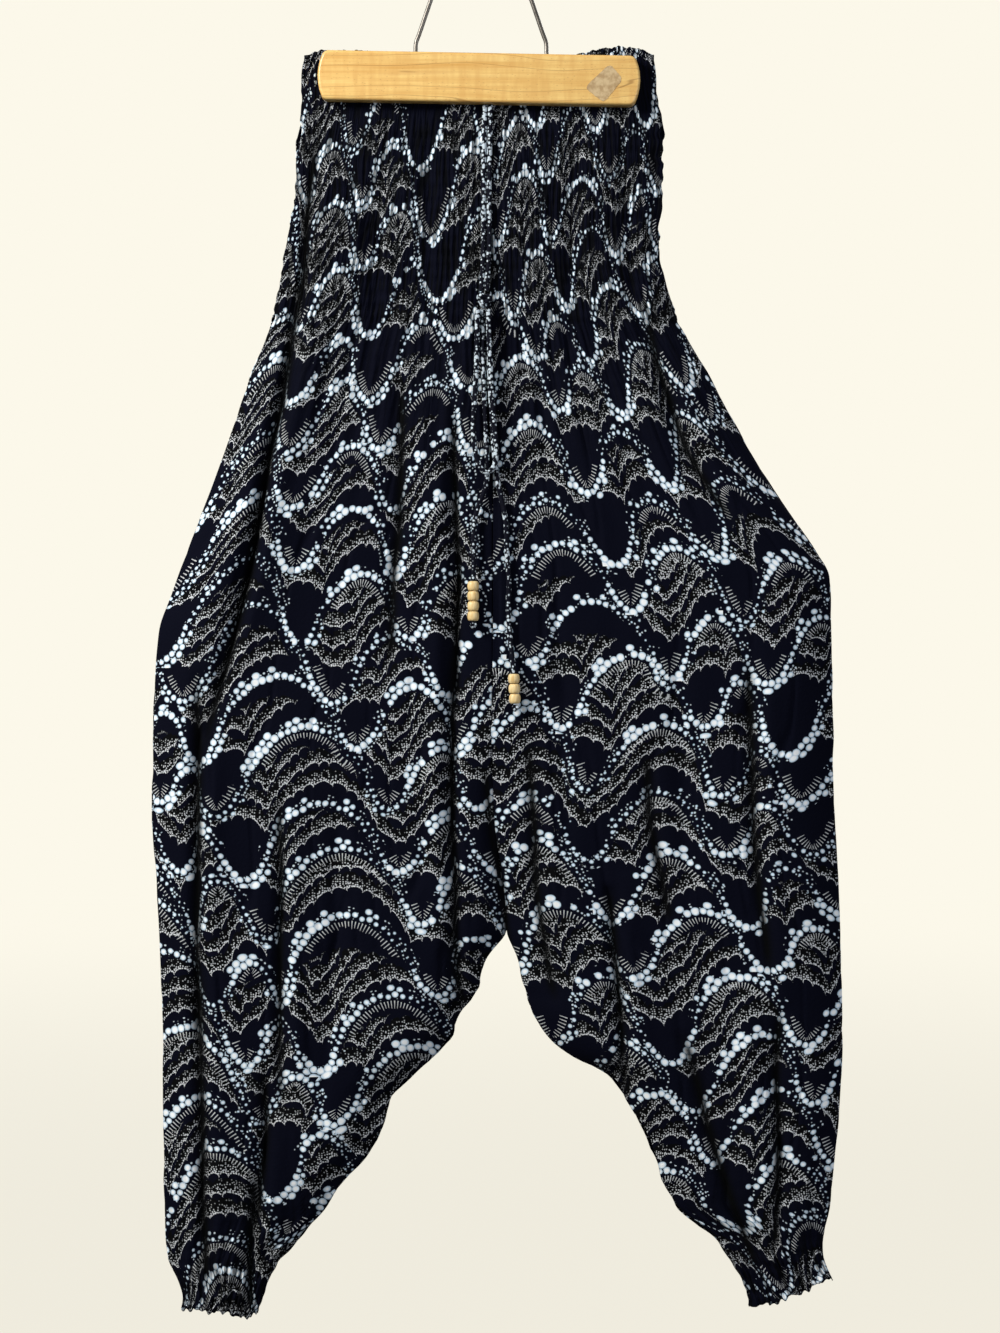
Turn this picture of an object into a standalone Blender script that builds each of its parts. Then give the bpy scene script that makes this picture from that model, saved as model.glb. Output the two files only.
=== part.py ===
"""Harem pants gripped by a wooden clamp hanger.

The garment is four long panels, a front and a back for each leg. Each runs in one piece from the
shirred waist to the shirred ankle. They meet down the centre front, the centre back, both sides and
both inseams. A cord of the same cloth is tied over the centre front and ends in wooden beads. Two
wooden jaws grip the waist, and a wire bail carries them on a hook.

Frame: the origin is where the hook's wire rests on a rail. +Z is up, the front faces -Y and +X is
the wearer's left. Sizes are in millimetres, and become metres where a mesh or a curve is made.
"Drop" is the distance straight down from the waist's edge.
"""

import math
from collections import namedtuple

import bmesh
import bpy
from mathutils import Matrix, Vector

MM = 0.001

# --- Driving sizes, in millimetres -------------------------------------------------------------

GAP = 0.3                       # between pieces that touch
CLOTH_WALL = 1.6
WAIST_BELOW_REST = 178.0        # from the hook's rest point down to the waist's edge
EDGE_ROLL = 46.0                # how far in from a folded edge the cloth takes to reach full depth
PANEL_COLUMNS = 12
LONGEST_ROW = 36.0              # a course taller than this is divided
HEM_RUFFLE = 1.8                # how far the ankle's edge waves up and down

JAW_LENGTH = 243.0
JAW_HEIGHT = 37.5
JAW_THICKNESS = 9.5
JAW_END_BULGE = 4.0             # how far the rounded ends stand past straight ones
JAW_CORNER = 4.5
JAW_EDGE_ROUND = 2.2
JAW_CENTRE_X = -1.6
JAW_CENTRE_DROP = 23.1
JAW_TILT = math.radians(1.06)   # the wearer's left end hangs lower

WIRE_DIAMETER = 3.3
BAIL_FOOT_X = 49.5
BAIL_FOOT_DROP = 9.6
BAIL_BEND_DROP = -5.5
BAIL_SHOULDER_DROP = -88.0
BAIL_NECK_DROP = -101.0
BAIL_LEAN = 0.355               # sideways run for each unit of height above the bend
FERRULE_RADIUS = 4.6
FERRULE_LENGTH = 14.0
HOOK_BOW_RADIUS = 21.0

CORD_DIAMETER = 3.8
CORD_STEP = 2.6                 # distance between a cord's points, in cord diameters
BEAD_RADIUS = 4.3
BEAD_HEIGHT = 7.2
BEAD_ROUND = 1.4                # how far the ends come in, which leaves them wider than the bore
END_KNOT_RADIUS = 2.9

# --- The cut, course by course -----------------------------------------------------------------

# Body courses are level. "right", "centre" and "left" are the x of the side seams and the centre
# seam. "depth" is how far the cloth stands off the middle plane, "centre_depth" the same at the
# centre seam, and "pucker" the height of the gathers.
Body = namedtuple("Body", "drop right centre left depth centre_depth pucker")
BODY = (
    Body(0, -133.5, 6.0, 130.5, 0.0, 0.0, 0.0),
    Body(22, -136.0, 5.6, 132.0, 0.0, 0.0, 0.0),
    Body(46, -136.3, 5.4, 135.5, 0.0, 0.0, 0.0),
    Body(62, -137.6, 5.4, 137.0, 3.0, 3.0, 2.2),
    Body(86, -141.5, 5.6, 137.2, 6.0, 6.0, 2.6),
    Body(110, -140.0, 5.9, 136.0, 7.5, 7.5, 2.6),
    Body(135, -145.0, 6.2, 134.6, 8.5, 8.5, 2.6),
    Body(161, -149.2, 6.6, 135.0, 9.5, 9.5, 2.6),
    Body(191, -154.0, 6.9, 144.0, 10.5, 10.5, 2.6),
    Body(206, -157.5, 7.1, 148.5, 11.0, 11.0, 2.8),
    Body(240, -172.0, 7.5, 169.0, 13.0, 13.0, 2.6),
    Body(266, -180.5, 8.0, 183.0, 14.5, 14.5, 2.0),
    Body(296, -191.0, 8.5, 199.0, 16.0, 16.0, 1.2),
    Body(334, -205.0, 9.0, 222.0, 17.0, 17.0, 0.6),
    Body(375, -220.5, 9.0, 250.0, 18.0, 18.0, 0.0),
    Body(395, -228.0, 9.0, 263.5, 18.0, 18.0, 0.0),
    Body(435, -243.0, 9.0, 265.0, 18.0, 18.0, 0.0),
    Body(476, -247.0, 8.4, 265.2, 18.0, 18.0, 0.0),
    Body(536, -248.4, 7.0, 266.0, 17.5, 16.0, 0.0),
    Body(589, -248.4, 10.5, 268.0, 17.0, 11.0, 0.0),
    Body(640, -245.0, 18.0, 270.2, 16.0, 4.5, 0.0),
    Body(668, -243.0, 19.0, 271.2, 15.5, 0.0, 0.0),
)

# Leg courses start at the crotch. Their two ends may drop by different amounts, so that the ankle
# hems can slope. "outer" is the side seam and "inner" the inseam.
Leg = namedtuple("Leg", "outer_drop outer_x inner_drop inner_x depth pucker")
RIGHT_LEG = (
    Leg(686, -242.0, 686, 4.0, 15.0, 0.0),
    Leg(709, -241.0, 709, -2.0, 15.0, 0.0),
    Leg(726, -240.6, 726, -15.5, 14.5, 0.0),
    Leg(746, -240.2, 746, -23.0, 14.5, 0.0),
    Leg(766, -240.0, 766, -42.0, 14.0, 0.0),
    Leg(787, -240.0, 787, -66.0, 13.5, 0.0),
    Leg(815, -240.0, 815, -75.0, 13.0, 0.0),
    Leg(838, -239.8, 838, -88.0, 12.5, 0.0),
    Leg(858, -239.6, 858, -107.0, 12.0, 0.3),
    Leg(880, -239.4, 880, -122.0, 11.5, 0.8),
    Leg(900, -239.0, 900, -138.0, 10.5, 1.4),
    Leg(915, -236.5, 914, -152.0, 9.5, 2.0),
    Leg(928, -230.0, 927, -160.0, 8.5, 2.4),
    Leg(942, -225.5, 943, -165.5, 8.0, 2.4),
    Leg(952, -226.5, 956, -168.0, 9.0, 3.2),
)
LEFT_LEG = (
    Leg(686, 271.5, 686, 27.5, 15.0, 0.0),
    Leg(709, 272.0, 709, 33.5, 15.0, 0.0),
    Leg(728, 272.4, 728, 38.0, 14.5, 0.0),
    Leg(746, 272.8, 746, 50.5, 14.5, 0.0),
    Leg(761, 273.0, 761, 67.0, 14.0, 0.0),
    Leg(774, 272.6, 774, 98.0, 13.5, 0.0),
    Leg(800, 271.0, 800, 114.5, 13.0, 0.0),
    Leg(825, 268.4, 825, 127.0, 12.5, 0.3),
    Leg(850, 266.0, 853, 136.0, 12.0, 0.8),
    Leg(871, 263.8, 879, 152.5, 11.5, 1.2),
    Leg(887, 260.6, 897, 177.0, 10.5, 1.6),
    Leg(900, 257.8, 912, 186.5, 9.5, 2.0),
    Leg(911, 258.6, 926, 195.0, 8.5, 2.4),
    Leg(920, 261.5, 940, 200.0, 8.0, 2.4),
    Leg(929, 266.0, 951, 203.0, 9.0, 3.2),
)

# The waist's edge rises and sinks between the jaws.
EdgePoint = namedtuple("EdgePoint", "x drop")
WAIST_EDGE = (
    EdgePoint(-133.5, 4.5),
    EdgePoint(-121.0, 0.5),
    EdgePoint(-85.0, 1.0),
    EdgePoint(-68.0, 12.0),
    EdgePoint(58.0, 12.0),
    EdgePoint(70.0, 4.5),
    EdgePoint(89.0, -0.4),
    EdgePoint(104.0, -2.2),
    EdgePoint(119.0, -0.8),
    EdgePoint(130.5, 3.8),
)

# A fold runs through three places: its top, its middle (half way down) and its bottom. A positive
# rise is a ridge and a negative one a crease.
Fold = namedtuple("Fold", "top_drop top_x mid_x bottom_drop bottom_x half_width rise")
FRONT_FOLDS = (
    Fold(60, -124.0, -156.0, 520, -208.0, 12.0, -9.5),
    Fold(90, -110.0, -137.0, 470, -183.0, 15.0, 3.4),
    Fold(200, 126.0, 146.0, 360, 190.0, 11.0, -5.5),
    Fold(250, -60.0, -63.0, 470, -70.0, 10.0, -3.8),
    Fold(281, -24.0, -25.0, 716, -40.0, 10.0, -4.6),
    Fold(430, 150.0, 152.0, 700, 163.0, 14.0, -4.0),
    Fold(560, -150.0, -154.0, 860, -170.0, 14.0, 4.0),
    Fold(620, 92.0, 100.0, 810, 120.0, 11.0, -5.5),
    Fold(690, -207.0, -205.0, 935, -205.0, 12.0, -5.5),
    Fold(700, 200.0, 212.0, 925, 234.0, 13.0, 4.2),
    Fold(740, 150.0, 182.0, 925, 214.0, 11.0, -4.8),
)
BACK_FOLDS = (
    Fold(80, 98.0, 120.0, 480, 186.0, 12.0, -7.0),
    Fold(210, -118.0, -140.0, 420, -176.0, 12.0, -5.0),
    Fold(230, 44.0, 52.0, 520, 70.0, 11.0, -4.2),
    Fold(260, -50.0, -56.0, 560, -80.0, 11.0, -4.4),
    Fold(420, -190.0, -196.0, 760, -206.0, 14.0, 4.0),
    Fold(560, 150.0, 158.0, 860, 176.0, 14.0, 4.0),
    Fold(650, -110.0, -124.0, 900, -168.0, 12.0, -5.0),
    Fold(700, 214.0, 226.0, 935, 236.0, 12.0, -5.0),
)

# --- The drawstring's routes -------------------------------------------------------------------

# Each point is (x, drop, lift), where lift is how far the cord stands off the cloth it lies on.
CORD_ROUTES = {
    "drawstring_right": (
        (2.8, 42.6, 0.0), (2.6, 52, 0.0), (2.5, 66, 0.0), (2.1, 82, 0.0), (1.9, 98, 0.0),
        (1.8, 114, 0.0), (1.9, 130, 0.0), (1.9, 146, 0.0), (1.5, 160, 0.2), (0.9, 172, 0.6),
        (0.4, 180, 1.0), (0.4, 184.4, 1.4),
    ),
    "drawstring_left": (
        (7.0, 42.6, 0.0), (6.9, 52, 0.0), (6.7, 66, 0.0), (6.4, 82, 0.0), (6.1, 98, 0.0),
        (6.0, 114, 0.0), (6.1, 130, 0.0), (6.1, 146, 0.0), (5.7, 160, 0.2), (5.1, 172, 0.6),
        (4.7, 180, 1.0), (4.7, 184.4, 1.4),
    ),
    "drawstring_loop": (
        (-2.4, 199.0, 3.2), (-2.6, 206, 3.0), (-2.9, 220, 2.4), (-3.3, 236, 2.2), (-3.9, 252, 2.4),
        (-4.9, 268, 3.0), (-5.8, 282, 3.8), (-5.4, 296, 4.4), (-3.6, 308, 4.6), (-0.4, 317.5, 4.6),
        (4.2, 321.5, 4.6), (8.8, 318.5, 4.6), (11.4, 310, 4.6), (11.2, 298, 4.6), (9.6, 282, 4.6),
        (8.2, 264, 4.6), (7.2, 246, 4.6), (6.5, 228, 4.6), (6.0, 212, 4.6), (5.8, 199.0, 4.6),
    ),
    "drawstring_end_short": (
        (1.0, 198.6, 0.2), (1.1, 208, 0.2), (1.4, 224, 0.2), (1.7, 242, 0.2), (2.3, 260, 0.2),
        (3.1, 278, 0.2), (3.9, 296, 0.2), (4.5, 311, 0.2), (4.6, 322, 0.2), (3.6, 331, 0.2),
        (0.6, 340, 0.4), (-2.9, 349, 0.6), (-4.9, 359, 0.9), (-5.4, 371, 1.3), (-5.3, 383, 1.9),
        (-5.5, 393, 2.6), (-5.7, 402, 3.0), (-5.8, 415, 3.0), (-5.8, 432.2, 3.0),
    ),
    "drawstring_end_long": (
        (5.3, 198.6, 0.2), (5.5, 208, 0.2), (5.9, 224, 0.2), (6.5, 242, 0.2), (7.2, 260, 0.2),
        (8.2, 278, 0.2), (9.3, 296, 0.2), (10.6, 312, 0.2), (12.2, 326, 0.2), (14.6, 338, 0.3),
        (17.2, 349, 0.4), (18.9, 361, 0.4), (19.3, 376, 0.4), (20.2, 390, 0.4), (20.9, 404, 0.4),
        (20.5, 421, 0.4), (21.2, 438, 0.8), (22.6, 453, 1.8), (23.7, 462, 2.6), (24.3, 470, 3.0),
        (24.9, 482, 3.0), (25.5, 493.6, 3.0),
    ),
}
TIE_CENTRE = (2.6, 191.6)       # x and drop
TIE_HALF_SIZE = (6.4, 4.0, 6.4)
BEAD_LIFT = 3.0

# A row of beads starts at its top and moves sideways by "lean" for each unit of drop.
BeadRow = namedtuple("BeadRow", "count top_x top_drop lean")
BEAD_ROWS = {
    "short": BeadRow(4, -5.8, 402.4, 0.0),
    "long": BeadRow(3, 24.4, 471.6, 0.05),
}

# --- Colours -----------------------------------------------------------------------------------

Finish = namedtuple("Finish", "colour roughness metallic")
FINISHES = {
    "printed_viscose": Finish((0.016, 0.018, 0.034), 0.85, 0.0),
    "maple": Finish((0.62, 0.38, 0.17), 0.45, 0.0),
    "bead_wood": Finish((0.72, 0.52, 0.29), 0.5, 0.0),
    "bright_wire": Finish((0.62, 0.62, 0.64), 0.18, 1.0),
}


# --- Helpers -----------------------------------------------------------------------------------

def clear_scene():
    for old in list(bpy.data.objects):
        bpy.data.objects.remove(old, do_unlink=True)


def finish_material(slot):
    """The Principled material of one finish, made the first time it is asked for."""
    found = bpy.data.materials.get(slot)
    if found:
        return found
    finish = FINISHES[slot]
    material = bpy.data.materials.new(slot)
    material.use_nodes = True
    shader = material.node_tree.nodes["Principled BSDF"]
    shader.inputs["Base Color"].default_value = (*finish.colour, 1.0)
    shader.inputs["Roughness"].default_value = finish.roughness
    shader.inputs["Metallic"].default_value = finish.metallic
    return material


def add_object(name, data, slot):
    """Link a mesh or a curve as a named sub-part with its finish."""
    data.materials.append(finish_material(slot))
    made = bpy.data.objects.new(name, data)
    bpy.context.scene.collection.objects.link(made)
    return made


def add_mesh(name, shape, slot):
    """Turn a closed bmesh, in millimetres, into a named sub-part in metres."""
    bmesh.ops.recalc_face_normals(shape, faces=shape.faces)
    bmesh.ops.scale(shape, vec=(MM, MM, MM), verts=shape.verts)
    mesh = bpy.data.meshes.new(name)
    shape.to_mesh(mesh)
    shape.free()
    return add_object(name, mesh, slot)


def add_tube(name, points, diameter, slot, resolution):
    """A round cord or wire with capped ends, along points in millimetres."""
    curve = bpy.data.curves.new(name, "CURVE")
    curve.dimensions = "3D"
    curve.bevel_depth = diameter * 0.5 * MM
    curve.bevel_resolution = resolution
    curve.use_fill_caps = True
    spline = curve.splines.new("POLY")
    spline.points.add(len(points) - 1)
    for place, point in zip(spline.points, points):
        place.co = (*(point * MM), 1.0)
    return add_object(name, curve, slot)


def smooth_route(points, step):
    """Even points along a smooth curve that passes through the given ones."""
    dense = []
    for number in range(len(points) - 1):
        before = points[max(number - 1, 0)]
        start = points[number]
        end = points[number + 1]
        after = points[min(number + 2, len(points) - 1)]
        for part in range(12):
            t = part / 12
            dense.append(0.5 * (
                2 * start + (end - before) * t
                + (2 * before - 5 * start + 4 * end - after) * t ** 2
                + (3 * start - before - 3 * end + after) * t ** 3))
    dense.append(points[-1])
    length = sum((b - a).length for a, b in zip(dense, dense[1:]))
    spans = max(2, round(length / step))
    even = [dense[0]]
    walked = 0.0
    for a, b in zip(dense, dense[1:]):
        run = (b - a).length
        while len(even) < spans and walked + run >= length * len(even) / spans:
            share = (length * len(even) / spans - walked) / run
            even.append(a.lerp(b, share))
        walked += run
    even.append(dense[-1])
    return even


def mix(a, b, share):
    return a + (b - a) * share


def at_drop(drop):
    """Height in the part's frame, in millimetres."""
    return -(WAIST_BELOW_REST + drop)


# --- The cloth ---------------------------------------------------------------------------------

Course = namedtuple("Course", "outer_x outer_drop inner_x inner_drop depth inner_depth pucker")


def leg_courses(side):
    """Every course of one leg's panels, waist to ankle. side is -1 for the right leg, 1 for the left."""
    courses = []
    for row in BODY:
        outer_x = row.right if side < 0 else row.left
        inner_x = row.centre + side * GAP * 0.5
        courses.append(Course(outer_x, row.drop, inner_x, row.drop,
                              row.depth, row.centre_depth, row.pucker))
    for row in (RIGHT_LEG if side < 0 else LEFT_LEG):
        courses.append(Course(row.outer_x, row.outer_drop, row.inner_x, row.inner_drop,
                              row.depth, 0.0, row.pucker))
    divided = [courses[0]]
    for above, below in zip(courses, courses[1:]):
        parts = math.ceil((below.inner_drop - above.inner_drop) / LONGEST_ROW)
        for part in range(1, parts + 1):
            divided.append(Course(*(mix(a, b, part / parts) for a, b in zip(above, below))))
    return divided


def body_at(drop):
    """The body's measures at any drop above the crotch."""
    for above, below in zip(BODY, BODY[1:]):
        if drop <= below.drop:
            share = (drop - above.drop) / (below.drop - above.drop)
            return Body(*(mix(a, b, share) for a, b in zip(above, below)))
    return BODY[-1]


def waist_edge_drop(x):
    """How far the waist's edge hangs below its level line."""
    for left, right in zip(WAIST_EDGE, WAIST_EDGE[1:]):
        if x <= right.x:
            share = max(0.0, (x - left.x) / (right.x - left.x))
            return mix(left.drop, right.drop, share)
    return WAIST_EDGE[-1].drop


def swell(distance, reach):
    """0 at a folded edge, rising in a round curve to 1 at the given reach."""
    short = 1.0 - min(distance / reach, 1.0)
    return 1.0 - short * short


def fold_rise(fold, x, drop):
    """How much one fold lifts the cloth at a place."""
    along = (drop - fold.top_drop) / (fold.bottom_drop - fold.top_drop)
    if along <= 0.0 or along >= 1.0:
        return 0.0
    control = 2.0 * fold.mid_x - 0.5 * (fold.top_x + fold.bottom_x)
    crest = ((1 - along) ** 2 * fold.top_x + 2 * along * (1 - along) * control
             + along ** 2 * fold.bottom_x)
    taper = math.sqrt(math.sin(math.pi * along))
    return fold.rise * taper * math.exp(-((x - crest) / fold.half_width) ** 2)


def stand_off(course, column, x, drop, folds):
    """How far the cloth's inner face is from the middle plane."""
    across = column / PANEL_COLUMNS
    width = abs(course.inner_x - course.outer_x)
    reach = min(EDGE_ROLL, width * 0.5)
    from_outer = swell(across * width, reach)
    from_inner = swell((1.0 - across) * width, reach)
    full = mix(course.inner_depth, course.depth, from_inner) * from_outer
    gather = course.pucker * (0.5 if column % 2 else -0.5) * from_outer
    relief = sum(fold_rise(fold, x, drop) for fold in folds) * from_outer * min(1.0, full / 6.0)
    return max(0.0, full + gather + relief)


def make_panel(name, side, face):
    """One panel as a closed wall. side is -1 or 1 as in leg_courses, face is -1 front or 1 back."""
    folds = FRONT_FOLDS if face < 0 else BACK_FOLDS
    courses = leg_courses(side)
    shape = bmesh.new()
    skins = ([], [])
    for number, course in enumerate(courses):
        rows = ([], [])
        for column in range(PANEL_COLUMNS + 1):
            across = column / PANEL_COLUMNS
            x = mix(course.outer_x, course.inner_x, across)
            drop = mix(course.outer_drop, course.inner_drop, across)
            off = GAP * 0.5 + stand_off(course, column, x, drop, folds)
            if number == 0:
                drop = waist_edge_drop(x)
            if number == len(courses) - 1:
                drop += HEM_RUFFLE * (0.5 if column % 2 else -0.5)
            for row, thickness in zip(rows, (0.0, CLOTH_WALL)):
                row.append(shape.verts.new((x, face * (off + thickness), at_drop(drop))))
        for skin, row in zip(skins, rows):
            skin.append(row)
    for skin in skins:
        for upper, lower in zip(skin, skin[1:]):
            for column in range(PANEL_COLUMNS):
                shape.faces.new((upper[column], upper[column + 1],
                                 lower[column + 1], lower[column]))
    rims = []
    for skin in skins:
        outer_edge = [row[0] for row in skin]
        inner_edge = [row[-1] for row in skin]
        rims.append(skin[0] + inner_edge[1:] + skin[-1][-2::-1] + outer_edge[-2:0:-1])
    inside, outside = rims
    for number in range(len(inside)):
        after = (number + 1) % len(inside)
        shape.faces.new((inside[number], inside[after], outside[after], outside[number]))
    panel = add_mesh(name, shape, "printed_viscose")
    panel.data.shade_smooth()
    panel.data.set_sharp_from_angle(angle=math.radians(50))
    return panel


def make_cloth():
    for side, leg in ((-1, "right"), (1, "left")):
        make_panel("front_" + leg, side, -1)
        make_panel("back_" + leg, side, 1)


# --- The drawstring and its beads --------------------------------------------------------------

def on_front(x, drop, lift, radius):
    """The middle of something round of this radius that lies on the front's centre."""
    body = body_at(drop)
    cloth_face = GAP * 0.5 + body.depth + body.pucker * 0.5 + CLOTH_WALL
    return Vector((x, -(cloth_face + GAP + radius + lift), at_drop(drop)))


def make_cords():
    for name, route in CORD_ROUTES.items():
        points = [on_front(x, drop, lift, CORD_DIAMETER * 0.5) for x, drop, lift in route]
        add_tube(name, smooth_route(points, CORD_STEP * CORD_DIAMETER), CORD_DIAMETER,
                 "printed_viscose", 2)


def make_bead(name, centre):
    """A squashed round bead, spun about the cord that runs through it."""
    bore = CORD_DIAMETER * 0.5 + 2 * GAP
    half = BEAD_HEIGHT * 0.5
    profile = [(bore, -half)]
    for step in range(5):
        angle = math.pi * (step / 4 - 0.5)
        profile.append((BEAD_RADIUS - BEAD_ROUND * (1 - math.cos(angle)), half * math.sin(angle)))
    profile.append((bore, half))
    shape = bmesh.new()
    verts = [shape.verts.new((radius, 0.0, height)) for radius, height in profile]
    edges = [shape.edges.new(pair) for pair in zip(verts, verts[1:] + verts[:1])]
    bmesh.ops.spin(shape, geom=verts + edges, cent=(0, 0, 0), axis=(0, 0, 1), dvec=(0, 0, 0),
                   angle=math.tau, steps=12, use_merge=True, use_duplicate=False)
    bmesh.ops.remove_doubles(shape, verts=shape.verts, dist=0.001)
    bead = add_mesh(name, shape, "bead_wood")
    bead.data.shade_smooth()
    bead.location = centre * MM
    return bead


def make_ball(name, centre, half_size):
    """A rounded knot of cord, as a plain closed lump."""
    shape = bmesh.new()
    bmesh.ops.create_uvsphere(shape, u_segments=12, v_segments=8, radius=1.0)
    bmesh.ops.transform(shape, matrix=Matrix.Diagonal((*half_size, 1.0)), verts=shape.verts)
    bmesh.ops.translate(shape, vec=centre, verts=shape.verts)
    knot = add_mesh(name, shape, "printed_viscose")
    knot.data.shade_smooth()
    return knot


def make_beads_and_knots():
    tie_x, tie_drop = TIE_CENTRE
    centre = on_front(tie_x, tie_drop, 0.4, TIE_HALF_SIZE[1])
    make_ball("drawstring_knot", centre, TIE_HALF_SIZE)
    for which, row in BEAD_ROWS.items():
        for number in range(row.count + 1):
            is_knot = number == row.count
            run = number * (BEAD_HEIGHT + GAP) + (END_KNOT_RADIUS if is_knot else BEAD_HEIGHT * 0.5)
            place = on_front(row.top_x + row.lean * run, row.top_drop + run, BEAD_LIFT,
                             CORD_DIAMETER * 0.5)
            if is_knot:
                make_ball("end_knot_" + which, place, (END_KNOT_RADIUS,) * 3)
            else:
                make_bead(f"bead_{which}_{number + 1}", place)


# --- The hanger --------------------------------------------------------------------------------

def jaw_outline():
    """The jaw seen from the front: straight top and bottom, bowed ends and rounded corners."""
    half_length = JAW_LENGTH * 0.5 - JAW_END_BULGE
    half_height = JAW_HEIGHT * 0.5
    quarter = []
    for step in range(4):
        angle = math.pi * 0.5 * step / 3
        quarter.append((half_length - JAW_CORNER + JAW_CORNER * math.sin(angle) + 1.2 * step / 3,
                        half_height - JAW_CORNER + JAW_CORNER * math.cos(angle)))
    quarter.append((half_length + JAW_END_BULGE * 0.8, half_height * 0.4))
    quarter.append((half_length + JAW_END_BULGE, 0.0))
    right_end = quarter + [(x, -z) for x, z in reversed(quarter[:-1])]
    left_end = [(-x, -z) for x, z in right_end]
    return right_end + left_end


def make_jaw(name, face):
    """A wooden bar with its outer edges eased. face is -1 for the front jaw, 1 for the back one."""
    shape = bmesh.new()
    inner_y = face * (GAP * 0.5 + CLOTH_WALL + GAP)
    flat = shape.faces.new([shape.verts.new((x, inner_y, z)) for x, z in jaw_outline()])
    pushed = bmesh.ops.extrude_face_region(shape, geom=[flat])["geom"]
    outer = [item for item in pushed if isinstance(item, bmesh.types.BMVert)]
    bmesh.ops.translate(shape, vec=(0.0, face * JAW_THICKNESS, 0.0), verts=outer)
    rim = [edge for edge in shape.edges if all(vert in outer for vert in edge.verts)]
    bmesh.ops.bevel(shape, geom=rim, offset=JAW_EDGE_ROUND, affect="EDGES", segments=2,
                    profile=0.5, material=-1)
    jaw = add_mesh(name, shape, "maple")
    jaw.data.shade_smooth()
    jaw.data.set_sharp_from_angle(angle=math.radians(35))
    jaw.location = Vector((JAW_CENTRE_X, 0.0, at_drop(JAW_CENTRE_DROP))) * MM
    jaw.rotation_euler = (0.0, JAW_TILT, 0.0)
    return jaw


def bail_route(side):
    """One leg of the bail: up out of the jaws, leaning in, then over a shoulder into the neck."""
    shoulder_x = BAIL_FOOT_X - BAIL_LEAN * (BAIL_BEND_DROP - BAIL_SHOULDER_DROP)
    neck_x = WIRE_DIAMETER * 0.5 + GAP * 0.5
    places = (
        (BAIL_FOOT_X, BAIL_FOOT_DROP),
        (BAIL_FOOT_X, BAIL_BEND_DROP + 8.0),
        (BAIL_FOOT_X - 0.4, BAIL_BEND_DROP),
        (BAIL_FOOT_X - 0.4 - BAIL_LEAN * 8.0, BAIL_BEND_DROP - 8.0),
        (mix(BAIL_FOOT_X, shoulder_x, 0.5), mix(BAIL_BEND_DROP, BAIL_SHOULDER_DROP, 0.5)),
        (shoulder_x + 2.0, BAIL_SHOULDER_DROP + 6.0),
        (mix(shoulder_x, neck_x, 0.4), BAIL_SHOULDER_DROP - 3.4),
        (neck_x + 2.6, BAIL_NECK_DROP + 11.0),
        (neck_x + 0.1, BAIL_NECK_DROP + 5.6),
        (neck_x, BAIL_NECK_DROP + 2.4),
        (neck_x, BAIL_NECK_DROP + GAP + 0.1),
    )
    return [Vector((side * x, 0.0, at_drop(drop))) for x, drop in places]


def hook_route():
    """The hook: a short stem, a swing to the wearer's left, then over the rail and down."""
    inner = HOOK_BOW_RADIUS - WIRE_DIAMETER * 0.5
    stem_foot = at_drop(BAIL_NECK_DROP) + FERRULE_LENGTH + GAP
    stem_top = -inner - HOOK_BOW_RADIUS - 9.0
    points = [
        Vector((0.0, 0.0, stem_foot)),
        Vector((0.0, 0.0, mix(stem_foot, stem_top, 0.5))),
        Vector((0.8, 0.0, stem_top)),
        Vector((6.5, 0.0, -inner - HOOK_BOW_RADIUS - 1.5)),
    ]
    first, last = math.radians(-48), math.radians(205)
    for step in range(12):
        angle = mix(first, last, step / 11)
        points.append(Vector((HOOK_BOW_RADIUS * math.cos(angle), 0.0,
                              -inner + HOOK_BOW_RADIUS * math.sin(angle))))
    return points


def make_ferrule():
    """The turned collar that holds both legs of the bail and the hook's stem."""
    shape = bmesh.new()
    made = bmesh.ops.create_cone(shape, cap_ends=True, segments=20, radius1=FERRULE_RADIUS,
                                 radius2=FERRULE_RADIUS, depth=FERRULE_LENGTH)
    ends = {edge for vert in made["verts"] for edge in vert.link_edges
            if abs(edge.verts[0].co.z - edge.verts[1].co.z) < GAP}
    bmesh.ops.bevel(shape, geom=list(ends), offset=0.8, affect="EDGES", segments=1, profile=0.5,
                    material=-1)
    bmesh.ops.translate(shape, vec=(0, 0, at_drop(BAIL_NECK_DROP) + FERRULE_LENGTH * 0.5),
                        verts=shape.verts)
    ferrule = add_mesh("neck_ferrule", shape, "bright_wire")
    ferrule.data.shade_smooth()
    ferrule.data.set_sharp_from_angle(angle=math.radians(35))


def make_hanger():
    make_jaw("jaw_front", -1)
    make_jaw("jaw_back", 1)
    step = WIRE_DIAMETER * 2.0
    for side, leg in ((-1, "right"), (1, "left")):
        add_tube("bail_" + leg, smooth_route(bail_route(side), step), WIRE_DIAMETER,
                 "bright_wire", 2)
    make_ferrule()
    add_tube("hook", smooth_route(hook_route(), step), WIRE_DIAMETER, "bright_wire", 2)


def main():
    clear_scene()
    make_cloth()
    make_cords()
    make_beads_and_knots()
    make_hanger()


main()
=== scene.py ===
# %% [markdown]
# # Harem pants on a clamp hanger
# Four long panels of thin printed viscose hang from a wooden clamp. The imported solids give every
# place and size, and this lesson dresses them: fine cloth shells with real gathers, a print drawn
# by shader nodes, a soft tied cord, turned beads, two maple bars and plated wire.
# Sizes are in millimetres here and become metres where a mesh or a curve is made. "Drop" is the
# distance straight down from the waist's edge.

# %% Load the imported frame
import math
import random
from collections import namedtuple

import bmesh
import bpy
import numpy as np
from mathutils import Matrix, Vector, kdtree


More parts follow.
